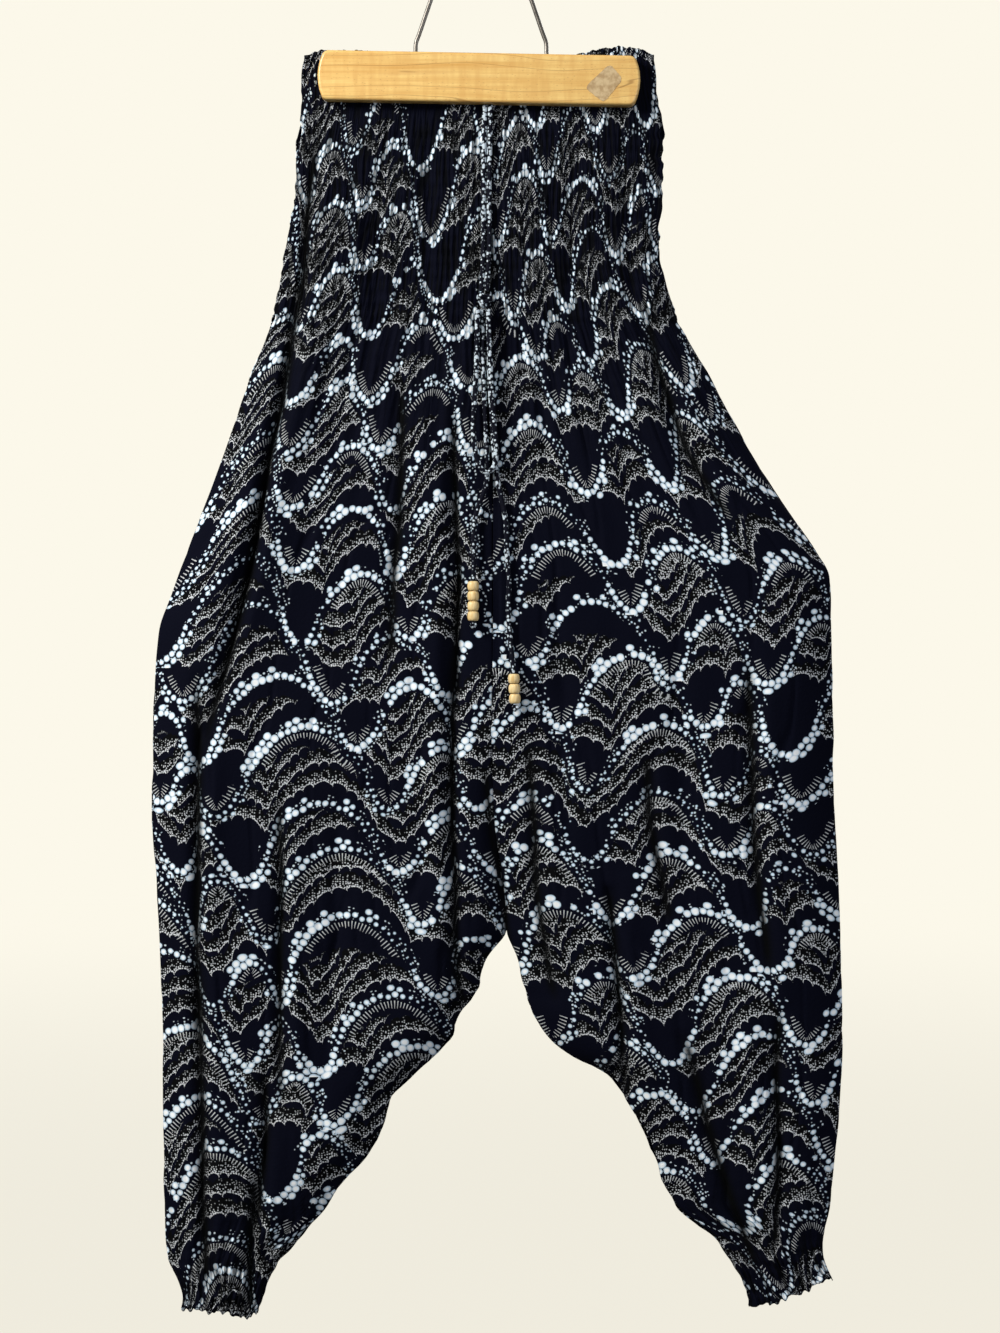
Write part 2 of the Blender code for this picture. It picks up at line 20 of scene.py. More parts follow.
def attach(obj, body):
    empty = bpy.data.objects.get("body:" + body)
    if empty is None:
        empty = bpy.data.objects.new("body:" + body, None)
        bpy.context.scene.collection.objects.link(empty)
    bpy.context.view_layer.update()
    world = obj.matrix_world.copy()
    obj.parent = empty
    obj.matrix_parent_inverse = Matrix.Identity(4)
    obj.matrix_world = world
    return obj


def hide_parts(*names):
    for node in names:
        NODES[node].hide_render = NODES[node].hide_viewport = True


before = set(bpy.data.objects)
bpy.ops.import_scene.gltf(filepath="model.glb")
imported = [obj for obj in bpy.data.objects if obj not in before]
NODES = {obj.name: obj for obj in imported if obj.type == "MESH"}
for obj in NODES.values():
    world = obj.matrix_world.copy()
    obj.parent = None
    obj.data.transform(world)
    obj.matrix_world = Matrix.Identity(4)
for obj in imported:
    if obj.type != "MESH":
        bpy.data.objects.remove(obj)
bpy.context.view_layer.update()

MM = 0.001
print("packed nodes:", len(NODES))

# %% [markdown]
# ## Sizes shared with the solids
# The garment's place follows from one number, how far the waist's edge hangs below the hook's rest
# point. The helpers turn a drop into a height and blend between two measures.

# %% Shared sizes and small helpers
WAIST_BELOW_REST = 178.0
GAP = 0.3                       # between pieces that touch
CLOTH_WALL = 1.6                # the solid's wall; the cloth seen is thinner and keeps its outer face


def at_drop(drop):
    return -(WAIST_BELOW_REST + drop)


def mix(a, b, share):
    return a + (b - a) * share


def rises(low, high, value):
    """0 below low, 1 above high and a smooth slope between, for numbers or arrays."""
    share = np.clip((value - low) / (high - low), 0.0, 1.0)
    return share * share * (3.0 - 2.0 * share)


# %% [markdown]
# ## Camera, floor and light
# A long lens square to the hanger keeps the outline as a flat pattern shows it. The room is one
# pale colour all round, so the dark cloth reads by its own print and folds. A broad lamp high on
# the left gives the folds their direction, and a weaker one fills from the right.

# %% Camera
FRAME_HEIGHT = 0.99975          # metres seen from top to bottom at the cloth
CAMERA_AWAY = 2.0
FRAME_CENTRE = (0.01425, -0.6441)
CLOTH_FRONT = -0.016            # y of the cloth's face, where the height above is measured
view_lens = bpy.data.cameras.new("front_camera")
view_lens.sensor_fit = "VERTICAL"
view_lens.sensor_height = 36.0
view_lens.lens = 36.0 * CAMERA_AWAY / FRAME_HEIGHT
front_camera = bpy.data.objects.new("front_camera", view_lens)
front_camera.location = (FRAME_CENTRE[0], CLOTH_FRONT - CAMERA_AWAY, FRAME_CENTRE[1])
front_camera.rotation_euler = (math.radians(90), 0.0, 0.0)
bpy.context.scene.collection.objects.link(front_camera)
bpy.context.scene.camera = front_camera
print("lens", round(view_lens.lens, 1), "mm")

# %% One way from a sRGB hex to a linear colour


def linear(hex_colour):
    parts = [int(hex_colour[place:place + 2], 16) / 255 for place in (1, 3, 5)]
    return tuple(p / 12.92 if p <= 0.04045 else ((p + 0.055) / 1.055) ** 2.4 for p in parts) + (1.0,)


# %% One way to add a node


def add(owner, kind, inputs=None, **settings):
    """Add one shader node. inputs maps a socket to a value, another socket or a node."""
    tree = owner.node_tree
    node = tree.nodes.new("ShaderNode" + kind)
    for name, value in settings.items():
        setattr(node, name, value)
    for socket, value in (inputs or {}).items():
        if isinstance(value, bpy.types.Node):
            value = value.outputs[0]    # a node stands for its first output
        if isinstance(value, bpy.types.NodeSocket):
            tree.links.new(value, node.inputs[socket])
        else:
            node.inputs[socket].default_value = value
    return node


def per_metre(*sizes):
    """How often a pattern repeats in a metre, from the sizes of its lumps in millimetres."""
    return tuple(1000 / size for size in sizes)


def start_material(name):
    material = bpy.data.materials.new(name)
    material.use_nodes = True
    return material, material.node_tree.nodes["Principled BSDF"]


# %% Room
scene = bpy.context.scene
scene.view_settings.view_transform = "Standard"
room = bpy.data.worlds.new("pale_room")
room.use_nodes = True
room_colour = linear("#FCF8EA")
wall_seen = room.node_tree.nodes["Background"]
wall_seen.inputs["Color"].default_value = room_colour
wall_light = add(room, "Background", {"Color": linear("#FFFDF8"), "Strength": 0.32})
ray = add(room, "LightPath")
room_shader = add(room, "MixShader", {0: ray.outputs["Is Camera Ray"], 1: wall_light, 2: wall_seen})
room.node_tree.links.new(room_shader.outputs[0], room.node_tree.nodes["World Output"].inputs[0])
scene.world = room
print("world:", room.name)

# %% Floor
FLOOR_HALF_SIZE = 9.0           # metres
FLOOR_HEIGHT = -1.62
floor_shape = bmesh.new()
bmesh.ops.create_grid(floor_shape, x_segments=2, y_segments=2, size=FLOOR_HALF_SIZE)
bmesh.ops.translate(floor_shape, vec=(0.0, 0.0, FLOOR_HEIGHT), verts=floor_shape.verts)
floor_mesh = bpy.data.meshes.new("pale_floor")
floor_shape.to_mesh(floor_mesh)
floor_shape.free()
pale_floor = bpy.data.objects.new("pale_floor", floor_mesh)
scene.collection.objects.link(pale_floor)
floor_paint, floor_shader = start_material("matt_pale_floor_paint")
floor_shader.inputs["Base Color"].default_value = linear("#3A3833")
floor_shader.inputs["Roughness"].default_value = 1.0
floor_shader.inputs["Specular IOR Level"].default_value = 0.0
floor_shader.inputs["Emission Color"].default_value = room_colour
# The floor shows the camera a glow in the room's colour. Painted shade makes that glow a little dimmer
# close by, and it is as bright as the room at its far edge.
floor_place = add(floor_paint, "TexCoord")
floor_far = add(floor_paint, "VectorMath", {0: floor_place.outputs["Object"]}, operation="LENGTH")
floor_glow_with_painted_shade = add(floor_paint, "MapRange", {"Value": floor_far.outputs["Value"], "From Min": 2.6,
                                            "From Max": 8.5, "To Min": 0.86, "To Max": 0.985},
                  interpolation_type="SMOOTHSTEP")
floor_ray = add(floor_paint, "LightPath")
floor_glow = add(floor_paint, "Math", {0: floor_ray.outputs["Is Camera Ray"], 1: floor_glow_with_painted_shade},
                 operation="MULTIPLY")
floor_paint.node_tree.links.new(floor_glow.outputs[0], floor_shader.inputs["Emission Strength"])
floor_mesh.materials.append(floor_paint)
print("floor:", 2 * FLOOR_HALF_SIZE, "m wide")

# %% Lamps
LAMP_AIM = Vector((0.0, 0.0, -0.65))
Lamp = namedtuple("Lamp", "name place size watts colour")
LAMPS = (
    Lamp("key_softbox", (-1.7, -1.25, 0.6), 0.7, 72.0, "#FFFAF2"),
    Lamp("fill_softbox", (1.7, -1.7, -0.5), 1.2, 15.0, "#F5F7FF"),
    Lamp("back_softbox", (1.5, 1.9, 0.5), 1.0, 26.0, "#FFFFFF"),
)
for lamp in LAMPS:
    light = bpy.data.lights.new(lamp.name, "AREA")
    light.size = lamp.size
    light.energy = lamp.watts
    light.color = linear(lamp.colour)[:3]
    holder = bpy.data.objects.new(lamp.name, light)
    holder.location = lamp.place
    holder.rotation_euler = (LAMP_AIM - holder.location).to_track_quat("-Z", "Y").to_euler()
    scene.collection.objects.link(holder)
print("lamps:", len(LAMPS))

# %% [markdown]
# ## The cut, course by course
# The same tables shape the solids. Each course gives the x of the side seam and of the middle seam,
# and how far the cloth stands off the middle plane. The cloth is only deep where it is not gripped:
# it is pressed flat by the jaws, opens through the shirred waist and is fullest at the hips.

# %% Courses
Body = namedtuple("Body", "drop right centre left depth centre_depth")
BODY = (
    Body(0, -133.5, 6.0, 130.5, 0.0, 0.0),
    Body(22, -136.0, 5.6, 132.0, 0.0, 0.0),
    Body(46, -136.3, 5.4, 135.5, 0.0, 0.0),
    Body(62, -137.6, 5.4, 137.0, 3.0, 3.0),
    Body(86, -141.5, 5.6, 137.2, 6.0, 6.0),
    Body(110, -140.0, 5.9, 136.0, 7.5, 7.5),
    Body(135, -145.0, 6.2, 134.6, 8.5, 8.5),
    Body(161, -149.2, 6.6, 135.0, 9.5, 9.5),
    Body(191, -154.0, 6.9, 144.0, 10.5, 10.5),
    Body(206, -157.5, 7.1, 148.5, 11.0, 11.0),
    Body(240, -172.0, 7.5, 169.0, 13.0, 13.0),
    Body(266, -180.5, 8.0, 183.0, 14.5, 14.5),
    Body(296, -191.0, 8.5, 199.0, 16.0, 16.0),
    Body(334, -205.0, 9.0, 222.0, 17.0, 17.0),
    Body(375, -220.5, 9.0, 250.0, 18.0, 18.0),
    Body(395, -228.0, 9.0, 263.5, 18.0, 18.0),
    Body(435, -243.0, 9.0, 265.0, 18.0, 18.0),
    Body(476, -247.0, 8.4, 265.2, 18.0, 18.0),
    Body(536, -248.4, 7.0, 266.0, 17.5, 16.0),
    Body(589, -248.4, 10.5, 268.0, 17.0, 11.0),
    Body(640, -245.0, 18.0, 270.2, 16.0, 4.5),
    Body(668, -243.0, 19.0, 271.2, 15.5, 0.0),
)
Leg = namedtuple("Leg", "outer_drop outer_x inner_drop inner_x depth")
RIGHT_LEG = (
    Leg(686, -242.0, 686, 4.0, 15.0),
    Leg(709, -241.0, 709, -2.0, 15.0),
    Leg(726, -240.6, 726, -15.5, 14.5),
    Leg(746, -240.2, 746, -23.0, 14.5),
    Leg(766, -240.0, 766, -42.0, 14.0),
    Leg(787, -240.0, 787, -66.0, 13.5),
    Leg(815, -240.0, 815, -75.0, 13.0),
    Leg(838, -239.8, 838, -88.0, 12.5),
    Leg(858, -239.6, 858, -107.0, 12.0),
    Leg(880, -239.4, 880, -122.0, 11.5),
    Leg(900, -239.0, 900, -138.0, 10.5),
    Leg(915, -236.5, 914, -152.0, 9.5),
    Leg(928, -230.0, 927, -160.0, 8.5),
    Leg(942, -225.5, 943, -165.5, 8.0),
    Leg(952, -226.5, 956, -168.0, 9.0),
)
LEFT_LEG = (
    Leg(686, 271.5, 686, 27.5, 15.0),
    Leg(709, 272.0, 709, 33.5, 15.0),
    Leg(728, 272.4, 728, 38.0, 14.5),
    Leg(746, 272.8, 746, 50.5, 14.5),
    Leg(761, 273.0, 761, 67.0, 14.0),
    Leg(774, 272.6, 774, 98.0, 13.5),
    Leg(800, 271.0, 800, 114.5, 13.0),
    Leg(825, 268.4, 825, 127.0, 12.5),
    Leg(850, 266.0, 853, 136.0, 12.0),
    Leg(871, 263.8, 879, 152.5, 11.5),
    Leg(887, 260.6, 897, 177.0, 10.5),
    Leg(900, 257.8, 912, 186.5, 9.5),
    Leg(911, 258.6, 926, 195.0, 8.5),
    Leg(920, 261.5, 940, 200.0, 8.0),
    Leg(929, 266.0, 951, 203.0, 9.0),
)
CROTCH_DROP = 668.0
EDGE_ROLL = 46.0                # how far in from a folded edge the cloth takes to reach full depth
# The heading above the jaws rises and sinks: x against drop.
HEADING_X = (-133.5, -121.0, -85.0, -68.0, 58.0, 70.0, 89.0, 104.0, 119.0, 130.5)
HEADING_DROP = (4.5, 0.5, 1.0, 12.0, 12.0, 4.5, -0.4, -2.2, -0.8, 3.8)
print("courses:", len(BODY) + len(LEFT_LEG))

# %% [markdown]
# ## Folds
# Cloth gathered at the waist falls in long soft valleys and ridges. Each is one row here: where its
# crest starts, passes half way and ends, how wide it is and how far it rises. A negative rise is a
# crease. The broad ones are in the solids too, and the narrow ones only show here.

# %% Fold tables
Fold = namedtuple("Fold", "top_drop top_x mid_x bottom_drop bottom_x half_width rise")
FRONT_FOLDS = (
    Fold(46, -124.0, -154.0, 540, -212.0, 6.5, -13.0),
    Fold(50, -115.0, -143.0, 520, -199.0, 7.0, 5.0),
    Fold(90, -104.0, -131.0, 470, -176.0, 14.0, 2.6),
    Fold(470, -211.0, -213.0, 760, -211.0, 6.0, -9.0),
    Fold(690, -211.0, -209.0, 940, -208.0, 6.5, -9.0),
    Fold(480, -199.0, -200.0, 900, -197.0, 8.0, 3.6),
    Fold(200, 126.0, 146.0, 360, 190.0, 6.5, -7.0),
    Fold(190, 114.0, 130.0, 380, 172.0, 8.0, 2.4),
    Fold(250, -60.0, -63.0, 470, -70.0, 6.0, -5.0),
    Fold(272, -19.0, -18.0, 500, -19.0, 5.0, -7.5),
    Fold(440, -19.0, -22.0, 735, -14.0, 6.0, -9.0),
    Fold(300, -32.0, -35.0, 700, -32.0, 8.0, 3.0),
    Fold(560, -149.0, -151.0, 800, -150.0, 5.0, -7.0),
    Fold(560, -138.0, -140.0, 820, -138.0, 8.0, 2.8),
    Fold(430, 150.0, 152.0, 700, 163.0, 10.0, -4.0),
    Fold(400, 60.0, 62.0, 640, 66.0, 7.0, -3.4),
    Fold(460, 200.0, 206.0, 700, 216.0, 6.0, -6.0),
    Fold(440, 212.0, 218.0, 720, 228.0, 8.0, 3.0),
    Fold(520, 36.0, 42.0, 720, 54.0, 6.0, -5.0),
    Fold(560, -108.0, -110.0, 800, -122.0, 6.5, -4.0),
    Fold(530, 122.0, 130.0, 660, 142.0, 7.0, -5.0),
    Fold(630, 96.0, 103.0, 800, 110.0, 5.5, -8.5),
    Fold(620, 108.0, 117.0, 830, 134.0, 9.0, 3.4),
    Fold(770, -162.0, -163.0, 890, -168.0, 5.5, -7.0),
    Fold(850, -172.0, -173.0, 955, -176.0, 6.0, -7.0),
    Fold(700, 198.0, 208.0, 925, 226.0, 9.0, 4.2),
    Fold(720, 224.0, 222.0, 910, 222.0, 5.5, -7.0),
    Fold(740, 150.0, 178.0, 925, 206.0, 7.0, -6.0),
    Fold(540, 4.0, 12.0, 690, 21.0, 5.0, -5.0),
    Fold(240, -150.0, -172.0, 420, -200.0, 8.0, 2.4),
    Fold(60, -42.0, -40.0, 220, -38.0, 5.0, -3.0),
    Fold(55, 74.0, 70.0, 200, 66.0, 6.0, -3.4),
    Fold(60, -72.0, -80.0, 230, -84.0, 6.0, -3.2),
    Fold(60, 108.0, 112.0, 250, 122.0, 6.0, -4.0),
    Fold(215, 46.0, 48.0, 330, 50.0, 5.5, -3.4),
)
BACK_FOLDS = (
    Fold(70, 98.0, 120.0, 480, 186.0, 7.0, -9.5),
    Fold(90, 112.0, 136.0, 470, 202.0, 9.0, 3.0),
    Fold(210, -118.0, -140.0, 420, -176.0, 7.0, -7.0),
    Fold(230, 44.0, 52.0, 520, 70.0, 6.0, -6.0),
    Fold(260, -50.0, -56.0, 560, -80.0, 6.0, -6.0),
    Fold(300, -16.0, -18.0, 600, -26.0, 10.0, 2.6),
    Fold(420, -190.0, -196.0, 760, -206.0, 12.0, 4.0),
    Fold(440, -176.0, -181.0, 720, -186.0, 6.0, -6.0),
    Fold(560, 150.0, 158.0, 860, 176.0, 12.0, 4.0),
    Fold(560, 116.0, 124.0, 830, 152.0, 6.5, -6.5),
    Fold(650, -110.0, -124.0, 900, -168.0, 7.0, -7.0),
    Fold(700, 214.0, 226.0, 935, 236.0, 6.5, -6.5),
    Fold(690, -214.0, -208.0, 930, -204.0, 6.5, -6.0),
    Fold(480, 214.0, 220.0, 720, 230.0, 7.0, -5.0),
    Fold(500, -110.0, -114.0, 700, -120.0, 7.0, -4.0),
    Fold(470, 12.0, 14.0, 680, 20.0, 6.0, -4.0),
)
print("folds:", len(FRONT_FOLDS), "front,", len(BACK_FOLDS), "back")

# %% [markdown]
# ## The drawstring's route
# A cord keeps its length whatever it does, so its route is fixed before its looks. Two lengths come
# down from under the clamp to a tie. Below the tie a long thin loop and two free ends hang on the
# cloth, and each end is threaded with beads above a stop knot. A smooth curve through the same
# points as the solids follow carries a round bevel.

# %% Cord points: x, drop and how far it stands off the cloth
CORD_DIAMETER = 3.8
CORD_ROUTES = {
    "drawstring_right": (
        (2.8, 42.6, 0.0), (2.6, 52, 0.0), (2.5, 66, 0.0), (2.1, 82, 0.0), (1.9, 98, 0.0),
        (1.8, 114, 0.0), (1.9, 130, 0.0), (1.9, 146, 0.0), (1.5, 160, 0.2), (0.9, 172, 0.6),
        (0.4, 180, 1.0), (0.4, 184.4, 1.4),
    ),
    "drawstring_left": (
        (7.0, 42.6, 0.0), (6.9, 52, 0.0), (6.7, 66, 0.0), (6.4, 82, 0.0), (6.1, 98, 0.0),
        (6.0, 114, 0.0), (6.1, 130, 0.0), (6.1, 146, 0.0), (5.7, 160, 0.2), (5.1, 172, 0.6),
        (4.7, 180, 1.0), (4.7, 184.4, 1.4),
    ),
    "drawstring_loop": (
        (-2.4, 199.0, 3.2), (-2.6, 206, 3.0), (-2.9, 220, 2.4), (-3.3, 236, 2.2), (-3.9, 252, 2.4),
        (-4.9, 268, 3.0), (-5.8, 282, 3.8), (-5.4, 296, 4.4), (-3.6, 308, 4.6), (-0.4, 317.5, 4.6),
        (4.2, 321.5, 4.6), (8.8, 318.5, 4.6), (11.4, 310, 4.6), (11.2, 298, 4.6), (9.6, 282, 4.6),
        (8.2, 264, 4.6), (7.2, 246, 4.6), (6.5, 228, 4.6), (6.0, 212, 4.6), (5.8, 199.0, 4.6),
    ),
    "drawstring_end_short": (
        (1.0, 198.6, 0.2), (1.1, 208, 0.2), (1.4, 224, 0.2), (1.7, 242, 0.2), (2.3, 260, 0.2),
        (3.1, 278, 0.2), (3.9, 296, 0.2), (4.5, 311, 0.2), (4.6, 322, 0.2), (3.6, 331, 0.2),
        (0.6, 340, 0.4), (-2.9, 349, 0.6), (-4.9, 359, 0.9), (-5.4, 371, 1.3), (-5.3, 383, 1.9),
        (-5.5, 393, 2.6), (-5.7, 402, 3.0), (-5.8, 415, 3.0), (-5.8, 432.2, 3.0),
    ),
    "drawstring_end_long": (
        (5.3, 198.6, 0.2), (5.5, 208, 0.2), (5.9, 224, 0.2), (6.5, 242, 0.2), (7.2, 260, 0.2),
        (8.2, 278, 0.2), (9.3, 296, 0.2), (10.6, 312, 0.2), (12.2, 326, 0.2), (14.6, 338, 0.3),
        (17.2, 349, 0.4), (18.9, 361, 0.4), (19.3, 376, 0.4), (20.2, 390, 0.4), (20.9, 404, 0.4),
        (20.5, 421, 0.4), (21.2, 438, 0.8), (22.6, 453, 1.8), (23.7, 462, 2.6), (24.3, 470, 3.0),
        (24.9, 482, 3.0), (25.5, 493.6, 3.0),
    ),
}
# How high the gathers stand at the front's centre, where the cords lie: drop and height.
PUCKERS = ((0, 0.0), (46, 0.0), (62, 2.2), (86, 2.6), (191, 2.6), (206, 2.8), (240, 2.6),
           (266, 2.0), (296, 1.2), (334, 0.6), (375, 0.0), (668, 0.0))

# %% Smooth even points


def smooth_route(points, step):
    """Even points along a smooth curve that passes through the given ones."""
    dense = []
    for number in range(len(points) - 1):
        before = points[max(number - 1, 0)]
        start = points[number]
        end = points[number + 1]
        after = points[min(number + 2, len(points) - 1)]
        for part in range(12):
            t = part / 12
            dense.append(0.5 * (
                2 * start + (end - before) * t
                + (2 * before - 5 * start + 4 * end - after) * t ** 2
                + (3 * start - before - 3 * end + after) * t ** 3))
    dense.append(points[-1])
    length = sum((b - a).length for a, b in zip(dense, dense[1:]))
    spans = max(2, round(length / step))
    even = [dense[0]]
    walked = 0.0
    for a, b in zip(dense, dense[1:]):
        run = (b - a).length
        while len(even) < spans and walked + run >= length * len(even) / spans:
            share = (length * len(even) / spans - walked) / run
            even.append(a.lerp(b, share))
        walked += run
    even.append(dense[-1])
    return even


def on_front(x, drop, lift, radius):
    """The middle of something round of this radius that lies on the front's centre."""
    drops = [row.drop for row in BODY]
    depth = np.interp(drop, drops, [row.depth for row in BODY])
    pucker = np.interp(drop, [p[0] for p in PUCKERS], [p[1] for p in PUCKERS])
    cloth_face = GAP * 0.5 + depth + pucker * 0.5 + CLOTH_WALL
    return Vector((x, -(cloth_face + GAP + radius + lift), at_drop(drop)))


# %% Round cords and wires from a curve


def add_tube(name, points, diameter, resolution=5, radii=None):
    """A round cord or wire with capped ends along points in millimetres, as a curve in metres."""
    curve = bpy.data.curves.new(name, "CURVE")
    curve.dimensions = "3D"
    curve.bevel_depth = 1.0     # a unit circle, scaled down by each point's own radius
    curve.bevel_resolution = resolution
    curve.use_fill_caps = True
    spline = curve.splines.new("POLY")
    spline.points.add(len(points) - 1)
    for number, (place, point) in enumerate(zip(spline.points, points)):
        place.co = (*(point * MM), 1.0)
        place.radius = diameter * 0.5 * MM * (radii[number] if radii else 1.0)
    spline.use_smooth = True
    made = bpy.data.objects.new(name, curve)
    scene.collection.objects.link(made)
    return made


def route_length(points):
    return sum((b - a).length for a, b in zip(points, points[1:])) * MM


# %% Make the five lengths of drawstring
CORD_POINT_STEP = 3.0
cords = {}
for name, route in CORD_ROUTES.items():
    points = smooth_route([on_front(x, drop, lift, CORD_DIAMETER * 0.5) for x, drop, lift in route],
                          CORD_POINT_STEP)
    cord = add_tube("soft_" + name, points, CORD_DIAMETER)
    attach(cord, "root")
    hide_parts(name)
    cords[name] = (cord, points)
    print(name, round(route_length(points), 3), "m")

# %% [markdown]
# ## The tie and the stop knots
# A knot is the cord itself, wound round and pulled tight. A trefoil line is the simplest closed
# path that crosses itself as an overhand knot does, so a bevelled trefoil reads as a small hard
# knot. The closed curve is turned into a mesh because a knot isn't a free length of cord.

# %% Knots
TIE_CENTRE = (2.6, 191.6)
TIE_HALF_SIZE = (6.4, 4.0, 6.4)
END_KNOT_RADIUS = 2.9
BEAD_RADIUS = 4.3
BEAD_HEIGHT = 7.2
BEAD_LIFT = 3.0
TIE_STRAND_RADIUS = 2.0
END_KNOT_STRAND_RADIUS = 1.35
TREFOIL_POINTS = 64
TREFOIL_REACH = 3.0             # of the plain trefoil line, before it is scaled to the knot


def add_mesh(name, shape, smooth=True):
    """Turn a bmesh in millimetres into a named object in metres."""
    bmesh.ops.scale(shape, vec=(MM, MM, MM), verts=shape.verts)
    mesh = bpy.data.meshes.new(name)
    shape.to_mesh(mesh)
    shape.free()
    if smooth:
        mesh.shade_smooth()
    made = bpy.data.objects.new(name, mesh)
    scene.collection.objects.link(made)
    return made


def make_knot(name, centre, half_size, strand_radius):
    """A trefoil of cord that fills an ellipsoid of this half size."""
    room_left = [size - strand_radius for size in half_size]
    curve = bpy.data.curves.new(name, "CURVE")
    curve.dimensions = "3D"
    curve.bevel_depth = strand_radius * MM
    curve.bevel_resolution = 4
    spline = curve.splines.new("POLY")
    spline.points.add(TREFOIL_POINTS - 1)
    spline.use_cyclic_u = True
    for number, place in enumerate(spline.points):
        t = math.tau * number / TREFOIL_POINTS
        turn = Vector((math.sin(t) + 2 * math.sin(2 * t), -math.sin(3 * t) * TREFOIL_REACH,
                       math.cos(t) - 2 * math.cos(2 * t))) / TREFOIL_REACH
        point = centre + Vector(part * room for part, room in zip(turn, room_left))
        place.co = (*(point * MM), 1.0)
    drawn = bpy.data.objects.new(name + "_line", curve)
    scene.collection.objects.link(drawn)
    bpy.context.view_layer.update()
    mesh = bpy.data.meshes.new_from_object(drawn.evaluated_get(bpy.context.evaluated_depsgraph_get()))
    bpy.data.objects.remove(drawn, do_unlink=True)
    mesh.name = name
    mesh.shade_smooth()
    knot = bpy.data.objects.new(name, mesh)
    scene.collection.objects.link(knot)
    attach(knot, "root")
    return knot


tie_spot = on_front(*TIE_CENTRE, 0.4, TIE_HALF_SIZE[1])
tie_knot = make_knot("cord_tie", tie_spot, TIE_HALF_SIZE, TIE_STRAND_RADIUS)
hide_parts("drawstring_knot")
print("tie:", len(tie_knot.data.polygons), "faces")

# %% [markdown]
# ## Turned wooden beads
# Each bead is turned on a lathe and drilled, so its shape is one profile spun about the cord: a
# squat barrel with eased shoulders. The spin is merged where it closes.

# %% Beads and stop knots
BeadRow = namedtuple("BeadRow", "count top_x top_drop lean")
BEAD_ROWS = {
    "short": BeadRow(4, -5.8, 402.4, 0.0),
    "long": BeadRow(3, 24.4, 471.6, 0.05),
}
BEAD_ROUND = 1.7                # how far the shoulders draw in at each end
BEAD_ROOM = 0.15                # between the cord and the bore
BEAD_MOUTH = (0.4, 0.5, 0.05)   # the bore's eased mouth: its width, its depth and how far in it lies
BEAD_PROFILE_STEPS = 10
BEAD_SIDES = 28


def make_bead(name, centre):
    bore = CORD_DIAMETER * 0.5 + BEAD_ROOM
    half = BEAD_HEIGHT * 0.5
    mouth_width, mouth_depth, mouth_in = BEAD_MOUTH
    shape = bmesh.new()
    profile = [(bore, -half + mouth_depth), (bore + mouth_width, -half + mouth_in)]
    for step in range(BEAD_PROFILE_STEPS + 1):
        angle = math.pi * (step / BEAD_PROFILE_STEPS - 0.5)
        drawn_in = BEAD_ROUND * (1 - math.cos(angle)) ** 1.3
        profile.append((BEAD_RADIUS - drawn_in, half * math.sin(angle)))
    profile += [(bore + mouth_width, half - mouth_in), (bore, half - mouth_depth)]
    verts = [shape.verts.new((radius, 0.0, height)) for radius, height in profile]
    edges = [shape.edges.new(pair) for pair in zip(verts, verts[1:] + verts[:1])]
    bmesh.ops.spin(shape, geom=verts + edges, cent=(0, 0, 0), axis=(0, 0, 1), dvec=(0, 0, 0),
                   angle=math.tau, steps=BEAD_SIDES, use_merge=True, use_duplicate=False)
    bmesh.ops.remove_doubles(shape, verts=shape.verts, dist=0.001)
    bmesh.ops.recalc_face_normals(shape, faces=shape.faces)
    bmesh.ops.translate(shape, vec=centre, verts=shape.verts)
    bead = add_mesh(name, shape)
    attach(bead, "root")
    return bead


beads = {}
stop_knots = {}
for which, row in BEAD_ROWS.items():
    beads[which] = []
    for number in range(row.count + 1):
        is_knot = number == row.count
        run = number * (BEAD_HEIGHT + GAP) + (END_KNOT_RADIUS if is_knot else BEAD_HEIGHT * 0.5)
        place = on_front(row.top_x + row.lean * run, row.top_drop + run, BEAD_LIFT,
                         CORD_DIAMETER * 0.5)
        if is_knot:
            stop_knots[which] = make_knot("stop_knot_" + which, place, (END_KNOT_RADIUS,) * 3,
                                          END_KNOT_STRAND_RADIUS)
            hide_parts("end_knot_" + which)
        else:
            bead = make_bead(f"turned_bead_{which}_{number + 1}", place)
            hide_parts(f"bead_{which}_{number + 1}")
            beads[which].append(bead)
print("beads:", sum(len(row) for row in beads.values()))

CORD_ENDS = {
    "drawstring_right": ("object", []),
    "drawstring_left": ("object", []),
    "drawstring_loop": ("object", [tie_knot]),
    "drawstring_end_short": ("knot", beads["short"] + [stop_knots["short"]]),
    "drawstring_end_long": ("knot", beads["long"] + [stop_knots["long"]]),
}
for name, (far_end, with_pieces) in CORD_ENDS.items():
    cord, points = cords[name]
print("cords declared:", len(CORD_ENDS))

# %% [markdown]
# ## How the print is laid out
# The printed figure is rows of bead strings that swing up over one hill and down into the next
# hollow. It could be painted as a picture, but then it would blur close up. Here each string is a
# chain of arches with their own widths and heights, and the cloth stores where it lies among them:
# the corners of each face hold their place on the nearest string, and each vertex holds its height
# over the hills. The shader draws dots, ticks and hills from those measures, so they stay round and
# sharp. The layout is in flat cloth, before gathering.

# %% Lay the strings
PRINT_WIDTH = 1130.0            # four panels side by side
PRINT_LENGTH = 980.0
STRING_SPACING = (43.0, 50.0)
HILL_WIDTHS = (42.0, 64.0)
HOLLOW_WIDTHS = (30.0, 46.0)
ARC_LEAST = 28.0
ROW_SHIFT = (7.0, 21.0)         # each row's hills stand a little to one side of those above
HEARTS = (3.0, 6.0, 10.0, 16.0, 26.0)   # how deep the plain cloth under a hill reaches
ARC_POINTS = 40
SMALLEST_LANE = 7.5             # two strings never come closer than this
FIRST_EDGE = 11.5               # the first stippled edge stands this high over a string
FAR_OFF = 60.0                  # an offset at which no string is drawn
TORN_SPAN = 8.0                 # a face whose corners lie further apart than this along a string
CUSP_STEP = 1.5                 # the most that one step counts along the brow, where it jumps
BROW_SHIFT = 37.0               # keeps one row's scallops from standing in line with the next
